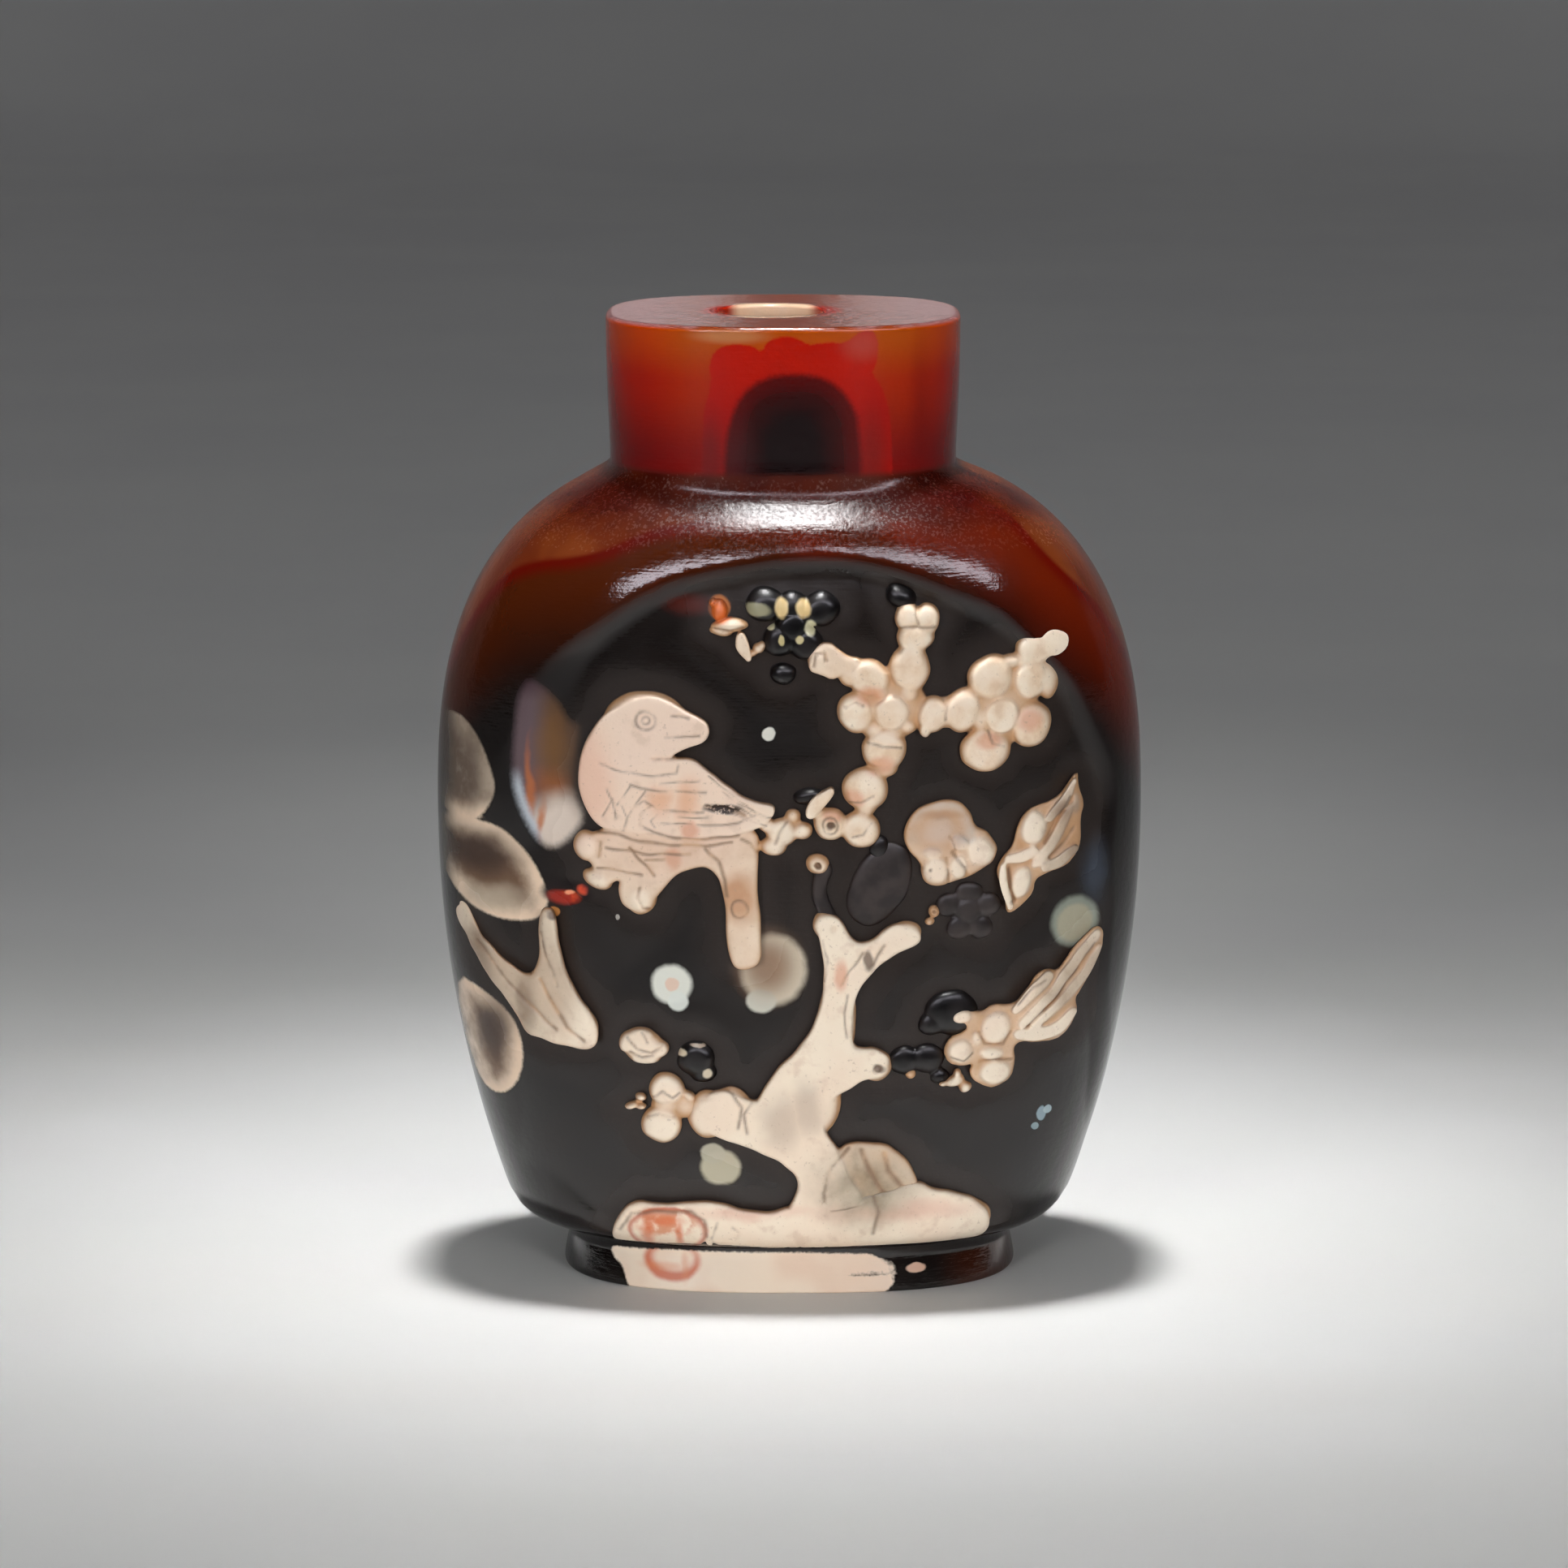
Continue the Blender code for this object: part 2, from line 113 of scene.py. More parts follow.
def body_half_depth(z):
    up = clamp((z - WIDEST) / (SHOULDER_END - WIDEST))
    down = clamp((WIDEST - z) / (WIDEST - FOOT_TOP))
    above = (1 - up**6) ** (1 / 2.2)
    below = (1 - 0.08 * down**2) * (1 - down**CORNER_POWER) ** 0.5
    return HALF_DEPTH * np.where(z >= WIDEST, above, below)


def front_surface(x, z):
    """How far forward the uncut front lies, as a y in millimetres."""
    half_width = np.maximum(body_half_width(z), 1e-6)
    half_depth = body_half_depth(z)
    inside = clamp(1 - np.abs(x / half_width) ** 2.5)
    return -half_depth * inside ** 0.4


print("Body is", 2 * HALF_WIDTH, "by", 2 * HALF_DEPTH, "mm")
print("Front at z 30 lies at y", round(float(front_surface(0.0, 30.0)), 2))

# %% [markdown]
# ## The figures on the carver's card
# The carving is easiest to draw flat. Each figure is placed on a card laid over the front, x across
# and z up, in millimetres from the middle of the foot. Petals, pebbles and buds are half eggs.
# Twigs and branches are limbs, a chain of places that each have a radius. The bird, the trunk and
# the rocks have outlines of their own.

# %% Outlines of the large figures
BIRD = [
    (-8.5, 38.6), (-7.4, 38.25), (-6.5, 37.65), (-5.3, 37.1), (-4.85, 36.4), (-5.1, 35.8),
    (-5.9, 35.45), (-7.0, 35.0), (-7.3, 34.7), (-6.0, 34.65), (-5.2, 34.0), (-4.0, 33.1),
    (-3.0, 32.3), (-2.1, 31.9), (-0.9, 31.75), (-0.9, 31.1), (-1.85, 30.2), (-3.9, 29.75),
    (-5.7, 29.6), (-7.7, 29.7), (-9.4, 29.95), (-11.3, 29.95), (-12.4, 30.7), (-13.0, 32.0),
    (-13.15, 33.3), (-12.95, 34.8), (-12.2, 36.4), (-11.3, 37.4), (-10.0, 38.25),
]
PERCH = [
    (-11.0, 30.3), (-12.1, 29.8), (-12.9, 29.5), (-13.25, 28.6), (-12.6, 28.05), (-12.1, 27.6),
    (-12.5, 26.95), (-11.9, 26.2), (-11.2, 26.5), (-10.4, 26.9), (-10.7, 26.1), (-10.4, 25.1),
    (-9.5, 24.75), (-8.6, 25.1), (-8.2, 25.9), (-7.4, 26.9), (-6.6, 27.5), (-5.6, 27.8),
    (-4.8, 27.55), (-4.2, 26.8), (-4.0, 25.0), (-3.9, 23.0), (-3.7, 21.7), (-2.9, 21.15),
    (-2.05, 21.45), (-1.65, 22.4), (-1.85, 24.6), (-2.0, 27.0), (-1.9, 28.6), (-1.9, 30.3),
    (-6.0, 30.4),
]
TREE = [
    (-0.6, 5.2), (0.35, 6.5), (0.55, 7.5), (0.1, 8.35), (-0.9, 9.1), (-2.3, 9.7), (-3.6, 10.2),
    (-5.0, 10.6), (-5.6, 11.6), (-5.3, 13.2), (-4.2, 13.7), (-3.3, 13.25), (-2.1, 12.8),
    (-1.75, 13.3), (-1.05, 14.55), (-0.1, 15.6), (0.6, 16.3), (1.3, 17.3), (1.8, 18.4),
    (2.1, 19.85), (2.15, 21.2), (2.0, 22.6), (1.7, 23.8), (1.75, 24.65), (2.5, 24.9), (3.2, 24.5),
    (3.8, 23.35), (4.4, 22.9), (5.2, 23.1), (5.9, 23.9), (6.9, 24.25), (7.95, 23.95),
    (8.25, 23.15), (7.6, 22.7), (6.25, 22.05), (5.35, 21.3), (4.4, 20.1), (4.0, 19.1),
    (4.0, 17.7), (3.85, 16.5), (4.6, 16.25), (5.4, 16.2), (6.15, 15.8), (6.35, 15.2), (5.6, 14.3),
    (4.6, 14.2), (3.7, 13.6), (2.6, 12.9), (2.2, 12.1), (2.2, 11.2), (2.6, 10.3), (3.2, 9.6),
    (3.6, 8.4), (4.6, 6.9), (4.9, 5.2),
]
ROCKS = [
    (-10.8, 2.2), (-11.2, 3.2), (-11.1, 4.3), (-10.4, 5.6), (-9.5, 6.15), (-8.6, 6.0),
    (-6.6, 6.1), (-5.3, 6.3), (-4.2, 6.15), (-2.6, 5.7), (-1.3, 5.55), (-0.3, 5.85), (1.2, 6.3),
    (4.0, 6.6), (6.6, 7.1), (8.1, 7.6), (8.9, 6.95), (10.1, 6.7), (11.5, 6.3), (12.4, 5.3),
    (12.8, 4.2), (12.2, 3.2), (10.8, 2.4), (6.0, 2.2), (0.0, 2.2), (-6.0, 2.2),
]
CREST = [
    (-21.2, 24.6), (-20.6, 22.6), (-19.6, 20.9), (-18.3, 19.2), (-17.2, 17.7), (-16.6, 16.5),
    (-15.4, 16.15), (-14.2, 15.95), (-12.9, 15.75), (-12.0, 16.15), (-11.85, 17.1), (-12.3, 18.1),
    (-13.1, 19.2), (-13.85, 20.5), (-14.25, 21.9), (-14.5, 23.6), (-14.8, 24.9), (-15.6, 24.6),
    (-15.7, 23.0), (-15.6, 21.4), (-16.2, 20.2), (-17.3, 20.6), (-18.6, 21.7), (-19.5, 22.6),
    (-20.2, 24.3),
]

# %% [markdown]
# Twigs are drawn as bands: a few places along the middle, each with its radius, and a round cap at both
# ends. Corners of a drawn outline are cut twice, which turns a few listed points into a flowing edge.

# %% From places to smooth outlines
def band(*stations):
    """The outline of a limb with round ends through (x, z, radius) places."""
    places = [np.array(station[:2], float) for station in stations]
    radii = [station[2] for station in stations]
    left, right = [], []
    for i, place in enumerate(places):
        along = places[min(i + 1, len(places) - 1)] - places[max(i - 1, 0)]
        along = along / np.hypot(*along)
        side = np.array([-along[1], along[0]]) * radii[i]
        left.append(place + side)
        right.append(place - side)
    caps = []
    last = (places[-1], places[-1] - places[-2], radii[-1])
    start = (places[0], places[0] - places[1], radii[0])
    for place, out, radius in (last, start):
        heading = math.atan2(out[1], out[0])
        turns = [heading + math.pi / 2 - math.pi * k / 4 for k in range(1, 4)]
        caps.append([place + radius * np.array([math.cos(turn), math.sin(turn)]) for turn in turns])
    return left + caps[0] + right[::-1] + caps[1]


def cut_corners(outline, rounds=2):
    points = np.array(outline, float)
    for _ in range(rounds):
        after = np.roll(points, -1, axis=0)
        pairs = [0.75 * points + 0.25 * after, 0.25 * points + 0.75 * after]
        points = np.stack(pairs, axis=1).reshape(-1, 2)
    return points


def distance_to_line(places, x, z, closed=False):
    """The distance from each (x, z) to a line through the places."""
    places = np.array(places, float)
    ends = np.roll(places, -1, axis=0) if closed else places[1:]
    nearest = np.full(np.shape(x), 1e9)
    for (x0, z0), (x1, z1) in zip(places, ends):
        length = (x1 - x0) ** 2 + (z1 - z0) ** 2 + 1e-12
        along = clamp(((x - x0) * (x1 - x0) + (z - z0) * (z1 - z0)) / length)
        away_x = x - x0 - along * (x1 - x0)
        away_z = z - z0 - along * (z1 - z0)
        nearest = np.minimum(nearest, np.hypot(away_x, away_z))
    return nearest


def depth_inside(outline, x, z, rounds=1):
    """How far each (x, z) lies inside a closed outline, negative outside it."""
    points = cut_corners(outline, rounds)
    inside = np.zeros(np.shape(x), bool)
    for (x0, z0), (x1, z1) in zip(points, np.roll(points, -1, axis=0)):
        if z0 != z1:
            crosses = (z0 > z) != (z1 > z)
            inside ^= crosses & (x < (x1 - x0) * (z - z0) / (z1 - z0) + x0)
    distance = distance_to_line(points, x, z, closed=True)
    return np.where(inside, distance, -distance)


print("The bird has", len(BIRD), "placed points, and", len(cut_corners(BIRD)), "once its corners are cut")

# %% [markdown]
# ## Blanks for the carving
# A plate is an outline with an even thickness and a rounded upper edge, like the cream skin before
# any detail is cut. A petal is half an egg. On the card, 1 unit is 1 mm, the ground is y = 0 and
# the viewer looks along +y.

# %% Plates and petals
SKIN = 0.95
LOW_SKIN = 0.6
SUNK = 0.5


def start_fresh():
    if bpy.context.object and bpy.context.object.mode != "OBJECT":
        bpy.ops.object.mode_set(mode="OBJECT")
    bpy.ops.object.select_all(action="DESELECT")


def plate(outline, high=SKIN, edge=0.3, rounds=2):
    """A plate of skin with its upper edge rounded over."""
    points = cut_corners(outline, rounds)
    start_fresh()
    bpy.ops.mesh.primitive_circle_add(vertices=len(points), radius=1, fill_type="NGON")
    blank = bpy.context.object
    for vertex, (x, z) in zip(blank.data.vertices, points):
        vertex.co = (x, SUNK, z)
    bpy.ops.object.mode_set(mode="EDIT")
    bpy.ops.mesh.select_all(action="SELECT")
    bpy.ops.mesh.extrude_region_move(TRANSFORM_OT_translate={"value": (0, -SUNK - high, 0)})
    bpy.ops.mesh.bevel(offset=edge, segments=3, affect="EDGES", clamp_overlap=False)
    bpy.ops.mesh.select_all(action="SELECT")
    bpy.ops.mesh.normals_make_consistent(inside=False)
    bpy.ops.object.mode_set(mode="OBJECT")
    return blank


FULLER = 1.1


def petal(x, z, across, up=None, turn=0, high=1.2):
    """Half an egg, turned anticlockwise by turn degrees."""
    start_fresh()
    bpy.ops.mesh.primitive_uv_sphere_add(segments=24, ring_count=14, radius=1, location=(x, 0, z))
    bpy.context.object.scale = FULLER * across, high, FULLER * (up or across)
    bpy.context.object.rotation_euler = 0, -math.radians(turn), 0
    bpy.ops.object.transform_apply(location=True, rotation=True, scale=True)
    return bpy.context.object


def twig(*stations, high=SKIN):
    thin = min(station[2] for station in stations)
    return plate(band(*stations), high, min(0.3, 0.6 * thin))


test_petal = petal(0, 0, 1)
print("A petal has", len(test_petal.data.polygons), "faces before the blanks are joined")
bpy.ops.object.delete()

# %% [markdown]
# ## Carving a figure
# The blanks of one figure overlap, so they are joined and remeshed into a single even skin, then
# smoothed as a polisher would. The tops are brought down to one level, because the skin has only
# one thickness. Fine lines are cut where the carver's wheel went. Two values go with the mesh for
# its colour: how high each point stands above the ground, and how near it is to a cut line.

# %% One figure from its blanks
def coordinates(piece):
    flat = np.empty(len(piece.data.vertices) * 3, np.float32)
    piece.data.vertices.foreach_get("co", flat)
    return flat.reshape(-1, 3).astype(float)


def move_points(piece, points):
    piece.data.vertices.foreach_set("co", np.asarray(points, np.float32).ravel())
    piece.data.update()


def store(piece, name, values):
    layer = piece.data.attributes.new(name, "FLOAT", "POINT")
    layer.data.foreach_set("value", np.asarray(values, np.float32))


def wobble(x, z, size):
    """A soft, uneven wave about size millimetres long, between about -1 and 1."""
    a = np.sin(2 * np.pi * (0.91 * x + 0.37 * z) / size + 1.3 * np.sin(1.7 * z / size))
    b = np.sin(2 * np.pi * (0.83 * z - 0.49 * x) / (0.77 * size) + 1.1 * np.sin(2.3 * x / size))
    return 0.5 * (a + b)


def carve(name, blanks, cuts=(), fine=0.1, top=SKIN, uneven=0.03):
    """Joins the blanks, levels them and cuts lines. Each cut is (width, depth, places)."""
    start_fresh()
    for blank in blanks:
        blank.select_set(True)
    bpy.context.view_layer.objects.active = blanks[0]
    bpy.ops.object.join()
    figure = bpy.context.object
    figure.name = name
    figure.data.name = name
    one_skin = figure.modifiers.new("one_skin", "REMESH")
    one_skin.mode = "VOXEL"
    one_skin.voxel_size = fine
    polish = figure.modifiers.new("polish", "SMOOTH")
    polish.factor = 0.5
    polish.iterations = 3
    bpy.ops.object.modifier_apply(modifier="one_skin")
    bpy.ops.object.modifier_apply(modifier="polish")
    points = coordinates(figure)
    x, z = points[:, 0], points[:, 2]
    high = -points[:, 1]
    high = high + uneven * wobble(x, z, 3.1) * clamp(high / 0.5)
    ease = 0.15
    over = np.maximum(high - (top - ease), 0)
    high = np.where(over > 0, top - ease * np.exp(-over / ease), high)
    line = np.zeros(len(x))
    for width, depth, places in cuts:
        near = np.exp(-((distance_to_line(places, x, z) / width) ** 2))
        high = high - depth * near * (high > 0.25)
        line = np.maximum(line, near)
    points[:, 1] = -high
    sway = 0.05
    points[:, 0] = x + sway * wobble(z, x, 2.3)
    points[:, 2] = z + sway * wobble(x + 7, z, 1.9)
    move_points(figure, points)
    store(figure, "high", clamp(high / SKIN))
    store(figure, "line", line)
    bpy.ops.object.shade_smooth()
    print(name, "has", len(figure.data.polygons) * 2, "triangles")
    return figure


# %% [markdown]
# ## The bird on its branch
# The bird is the largest figure. It turns its head to the right, its tail runs down to the two
# buds, and its wing is drawn with long cut lines. The branch under it is a little lower, so the
# bird stands out from it.

# %% Bird and branch
def ring(x, z, radius, sides=16):
    turns = [2 * math.pi * k / sides for k in range(sides + 1)]
    return [(x + radius * math.cos(turn), z + radius * math.sin(turn)) for turn in turns]


BIRD_CUTS = [
    (0.1, 0.05, ring(-8.9, 37.0, 0.62)),
    (0.1, 0.06, ring(-8.9, 37.0, 0.25)),
    (0.09, 0.12, [(-7.3, 37.25), (-6.7, 37.3), (-6.2, 37.2)]),
    (0.07, 0.08, [(-7.7, 36.0), (-6.8, 35.98), (-5.6, 36.1)]),
    (0.12, 0.2, [(-8.5, 34.6), (-7.6, 34.6), (-6.6, 34.8)]),
    (0.08, 0.1, [(-11.8, 34.15), (-10.3, 33.75), (-8.5, 33.52), (-7.0, 33.7), (-6.85, 34.3)]),
    (0.08, 0.1, [(-9.9, 33.0), (-9.2, 32.7), (-7.5, 32.6), (-5.2, 32.55)]),
    (0.09, 0.12, [(-9.0, 31.9), (-8.3, 31.45), (-6.8, 31.35), (-5.3, 31.3)]),
    (0.07, 0.1, [(-7.9, 30.62), (-7.0, 30.55), (-6.1, 30.55)]),
    (0.07, 0.1, [(-5.7, 30.52), (-4.2, 30.5), (-3.1, 30.7), (-2.0, 31.2)]),
    (0.11, 0.14, [(-8.7, 31.5), (-9.25, 31.1), (-9.3, 30.4), (-8.4, 29.95), (-7.0, 29.65),
        (-5.2, 29.6), (-3.2, 29.85)]),
    (0.06, 0.1, [(-11.3, 32.6), (-11.0, 31.9), (-10.8, 30.8)]),
    (0.06, 0.08, [(-10.95, 32.0), (-11.35, 31.3), (-11.6, 30.9)]),
    (0.06, 0.09, [(-9.9, 32.9), (-10.3, 32.2), (-10.7, 31.6)]),
    (0.08, 0.1, [(-9.1, 31.9), (-9.7, 31.4), (-10.05, 30.9), (-10.3, 30.0)]),
    (0.06, 0.08, [(-10.4, 31.6), (-10.1, 31.0)]),
    (0.06, 0.08, [(-5.0, 33.6), (-3.8, 32.6), (-2.6, 31.7)]),
    (0.07, 0.08, [(-3.6, 31.3), (-2.4, 30.9), (-1.4, 30.5)]),
    (0.06, 0.08, [(-8.9, 32.6), (-9.4, 31.9), (-9.8, 31.2)]),
    (0.06, 0.08, [(-8.2, 31.2), (-8.6, 30.7), (-8.3, 30.3)]),
    (0.06, 0.1, [(-4.2, 32.6), (-3.2, 31.9), (-2.0, 31.3), (-0.9, 30.95)]),
    (0.06, 0.1, [(-3.9, 32.2), (-2.8, 31.4), (-1.8, 30.8)]),
    (0.06, 0.08, [(-8.0, 33.1), (-6.8, 33.2), (-5.6, 33.3)]),
    (0.05, 0.06, [(-6.9, 31.0), (-5.9, 30.95), (-5.0, 31.0)]),
    (0.16, 0.28, [(-5.1, 31.65), (-4.7, 31.5), (-4.1, 31.68), (-3.4, 31.45), (-2.8, 31.1)]),
]
PERCH_CUTS = [
    (0.1, 0.12, [(-12.5, 30.0), (-10.5, 29.7), (-9.3, 29.35), (-7.4, 29.2), (-5.2, 29.15),
        (-3.6, 29.4)]),
    (0.09, 0.12, [(-11.75, 29.2), (-11.85, 28.3)]),
    (0.1, 0.14, [(-9.95, 28.9), (-9.0, 27.9), (-8.4, 27.25)]),
    (0.08, 0.12, [(-11.9, 27.55), (-10.3, 27.45), (-9.2, 27.2)]),
    (0.08, 0.1, [(-8.9, 28.2), (-7.8, 28.2)]),
    (0.09, 0.1, [(-11.4, 28.9), (-8.6, 28.55), (-6.2, 28.6)]),
    (0.11, 0.14, [(-9.3, 26.4), (-9.45, 25.8), (-9.1, 25.2), (-8.7, 25.1)]),
    (0.12, 0.12, [(-5.2, 29.0), (-4.4, 28.2), (-4.0, 27.0), (-3.9, 26.0)]),
    (0.09, 0.1, [(-3.0, 29.6), (-2.4, 29.3), (-1.9, 28.7)]),
    (0.08, 0.1, ring(-3.1, 25.2, 0.55)),
    (0.1, 0.12, [(-0.9, 29.4), (-0.6, 30.0), (-0.2, 30.6)]),
]
bird = carve("bird", [
    plate(BIRD, 1.1, 0.45),
    plate(PERCH, 0.7, 0.3),
    petal(-9.3, 25.7, 1.0, 0.95, high=0.95),
    petal(-12.6, 28.9, 0.8, 0.9, high=1.0),
    petal(-11.9, 26.8, 0.9, 0.6, turn=-20, high=0.9),
    petal(-8.9, 36.9, 2.4, 1.7, high=1.2),
    petal(-10.2, 32.7, 2.5, 2.9, turn=15, high=1.25),
    petal(-0.45, 29.95, 0.95, 0.85, high=1.0),
    petal(-1.0, 29.1, 0.8, 0.6, high=0.9),
    petal(-1.2, 30.35, 0.75, 0.45, turn=-15, high=0.85),
    petal(0.75, 30.1, 0.6, 0.55, high=0.9),
    petal(0.2, 31.0, 0.5, 0.45, high=0.7),
], BIRD_CUTS + PERCH_CUTS)

# %% [markdown]
# ## The old tree and the rocks
# The trunk rises from the rock bank and forks. A second rock leans on it, lower than the trunk and
# cut in slanting facets. The bank is one long low form that reaches the bottle's foot.

# %% Tree and rocks
TREE_CUTS = [
    (0.12, 0.12, [(2.2, 6.0), (2.1, 7.0), (2.6, 8.6), (3.7, 9.8)]),
    (0.16, 0.14, [(4.5, 9.7), (4.9, 8.6), (5.9, 6.9)]),
    (0.16, 0.12, [(5.9, 9.4), (6.2, 8.3), (7.2, 7.0)]),
    (0.1, 0.1, [(-2.4, 12.8), (-2.9, 12.0), (-2.6, 10.8)]),
    (0.1, 0.1, [(-3.5, 13.3), (-3.0, 12.5), (-3.2, 11.2)]),
    (0.08, 0.14, [(3.3, 20.4), (3.7, 21.2), (4.6, 22.4)]),
    (0.1, 0.16, [(5.2, 21.6), (5.5, 22.3), (5.9, 22.9)]),
    (0.07, 0.08, [(2.2, 20.6), (2.35, 22.0), (2.1, 23.2)]),
    (0.07, 0.08, [(3.6, 17.0), (3.4, 18.6), (3.6, 19.8)]),
    (0.09, 0.16, ring(5.5, 14.9, 0.25, 8)),
    (0.08, 0.12, ring(2.75, 23.9, 0.15, 6)),
]
SECOND_ROCK = [
    (1.8, 5.4), (2.2, 8.6), (3.2, 9.9), (4.6, 10.2), (6.0, 10.0), (7.1, 9.3), (7.8, 8.2),
    (8.15, 7.1), (7.6, 5.4),
]
tree = carve("tree", [
    plate(TREE, SKIN, 0.35),
    plate(SECOND_ROCK, 0.72, 0.3, 1),
    petal(-5.0, 11.9, 1.25, 1.45, high=1.1),
    petal(-3.6, 12.0, 1.3, 1.6, turn=10, high=0.95),
    petal(5.3, 15.1, 1.05, 0.95, high=1.15),
    petal(7.2, 23.5, 0.95, 0.75, turn=20, high=1.1),
    petal(2.2, 24.0, 0.65, 0.9, turn=20, high=1.1),
    petal(1.4, 12.4, 1.6, 2.2, turn=-25, high=1.15),
    petal(3.0, 18.2, 1.1, 2.4, high=1.15),
], TREE_CUTS)

ROCK_CUTS = [
    (0.13, 0.12, [(-10.6, 4.2), (-9.9, 5.3), (-8.6, 5.55), (-6.2, 5.6), (-5.35, 5.1),
        (-5.2, 3.9), (-5.5, 2.7)]),
    (0.1, 0.08, [(-4.6, 4.9), (-4.9, 3.7), (-4.3, 2.9)]),
    (0.1, 0.08, [(-3.6, 4.6), (-3.2, 4.3), (-3.3, 3.8)]),
    (0.08, 0.1, [(-0.15, 3.0), (-0.15, 2.5)]),
    (0.08, 0.1, [(0.65, 3.0), (0.65, 2.5)]),
    (0.08, 0.1, [(1.5, 3.0), (1.5, 2.5)]),
    (0.08, 0.1, [(2.3, 3.0), (2.3, 2.5)]),
    (0.12, 0.08, [(5.2, 6.9), (5.6, 5.6), (5.2, 4.2)]),
]
rocks = carve("rocks", [
    plate(ROCKS, SKIN, 0.4),
    petal(-8.0, 4.2, 2.4, 1.5, high=1.15),
    petal(9.6, 4.6, 2.9, 1.8, high=1.15),
], ROCK_CUTS)

# %% [markdown]
# ## Prunus sprays
# The blossoms are packed round petals. Each petal is a half egg that keeps its own dome, so valleys
# form between neighbours. The petals of one spray are joined in one figure, because in the stone
# they are one skin.

# %% The upper right spray
BUD = [
    (1.1, 40.2), (1.2, 41.0), (1.8, 41.85), (2.5, 41.9), (3.0, 41.5), (3.6, 41.05), (4.4, 40.9),
    (4.5, 40.3), (3.3, 39.8), (2.5, 39.5), (1.9, 39.9),
]
upper_spray = carve("upper_spray", [
    petal(7.3, 43.35, 0.74, 0.89),
    petal(8.5, 43.25, 0.72, 0.89),
    petal(7.75, 42.1, 1.09, 0.87),
    petal(7.5, 41.2, 0.76, 0.55),
    petal(7.4, 40.2, 1.18, 1.44),
    petal(4.9, 39.65, 1.22, 1.09),
    petal(3.7, 39.8, 0.65, 0.65, high=0.8),
    plate(BUD, 0.75, 0.25, 1),
    petal(1.8, 40.9, 0.65, 0.82, turn=-20, high=0.95),
    petal(4.1, 40.5, 0.55, 0.38, high=0.8),
    petal(6.3, 37.5, 1.09, 1.09, high=1.5),
    petal(6.35, 37.8, 2.07, 1.85, high=0.66),
    petal(4.1, 37.5, 1.09, 1.22),
    petal(5.6, 38.75, 0.55, 0.49, high=0.8),
    petal(7.35, 38.7, 0.65, 0.65, high=0.8),
    petal(5.2, 36.4, 0.65, 0.49, high=0.78),
    petal(7.3, 36.6, 0.55, 0.49, high=0.78),
    petal(8.85, 37.3, 0.93, 1.09),
    petal(8.4, 36.35, 0.35, 0.49),
    petal(9.7, 37.35, 0.76, 0.93, high=0.85),
    petal(10.7, 37.5, 1.14, 1.31, turn=-20),
    petal(5.85, 35.15, 1.31, 1.25),
    petal(6.3, 36.2, 0.76, 0.44, high=0.75),
    petal(13.15, 37.1, 1.09, 1.09, high=1.5),
    petal(13.2, 37.4, 2.13, 2.07, high=0.66),
    petal(12.5, 39.45, 1.42, 1.33),
    petal(15.0, 39.25, 1.1, 1.3, turn=-8),
    petal(16.0, 39.15, 0.7, 1.2, high=0.85),
    petal(13.8, 40.4, 0.76, 0.44, high=0.8),
    petal(14.7, 40.45, 0.65, 0.55, high=0.85),
    petal(15.3, 41.1, 1.25, 1.0),
    petal(15.95, 41.15, 0.95, 0.75, high=1.4),
    petal(16.5, 41.35, 1.05, 0.95, high=1.5),
    petal(15.0, 36.35, 1.18, 1.33, turn=-15),
    petal(12.15, 34.95, 1.5, 1.31),
    petal(11.8, 36.9, 0.55, 0.98, high=0.75),
    petal(5.9, 34.0, 0.76, 0.55, high=0.8),
    petal(4.7, 32.7, 1.33, 1.31),
    petal(4.7, 31.5, 0.65, 0.44, high=0.8),
    petal(4.4, 30.15, 1.14, 1.09),
    petal(3.4, 30.3, 0.44, 0.55, high=0.8),
    petal(2.5, 30.5, 0.96, 0.98),
    twig((1.35, 31.2, 0.35), (1.7, 31.9, 0.45), (2.55, 32.6, 0.25), high=0.9),
], [
    (0.13, 0.3, ring(2.55, 30.5, 0.12, 6)),
    (0.08, 0.1, ring(2.55, 30.5, 0.5, 12)),
    (0.1, 0.16, [(1.5, 40.5), (1.6, 41.2), (2.2, 41.2), (2.3, 40.8)]),
    (0.09, 0.1, [(3.7, 31.9), (4.4, 31.95), (5.2, 32.3)]),
    (0.1, 0.12, [(6.8, 42.75), (7.8, 42.8), (8.9, 42.75)]),
    (0.08, 0.14, [(7.85, 44.1), (7.8, 43.5), (7.95, 43.0)]),
    (0.08, 0.1, [(4.8, 35.7), (5.6, 35.5), (6.9, 35.3)]),
    (0.08, 0.1, [(12.3, 36.2), (12.6, 35.4), (13.3, 35.2)]),
    (0.08, 0.1, [(3.9, 29.7), (4.6, 29.9), (5.1, 30.6)]),
    (0.09, 0.12, [(3.4, 37.9), (4.1, 38.2), (4.6, 38.0)]),
    (0.08, 0.1, [(9.6, 37.0), (9.7, 37.8), (9.5, 38.2)]),
])

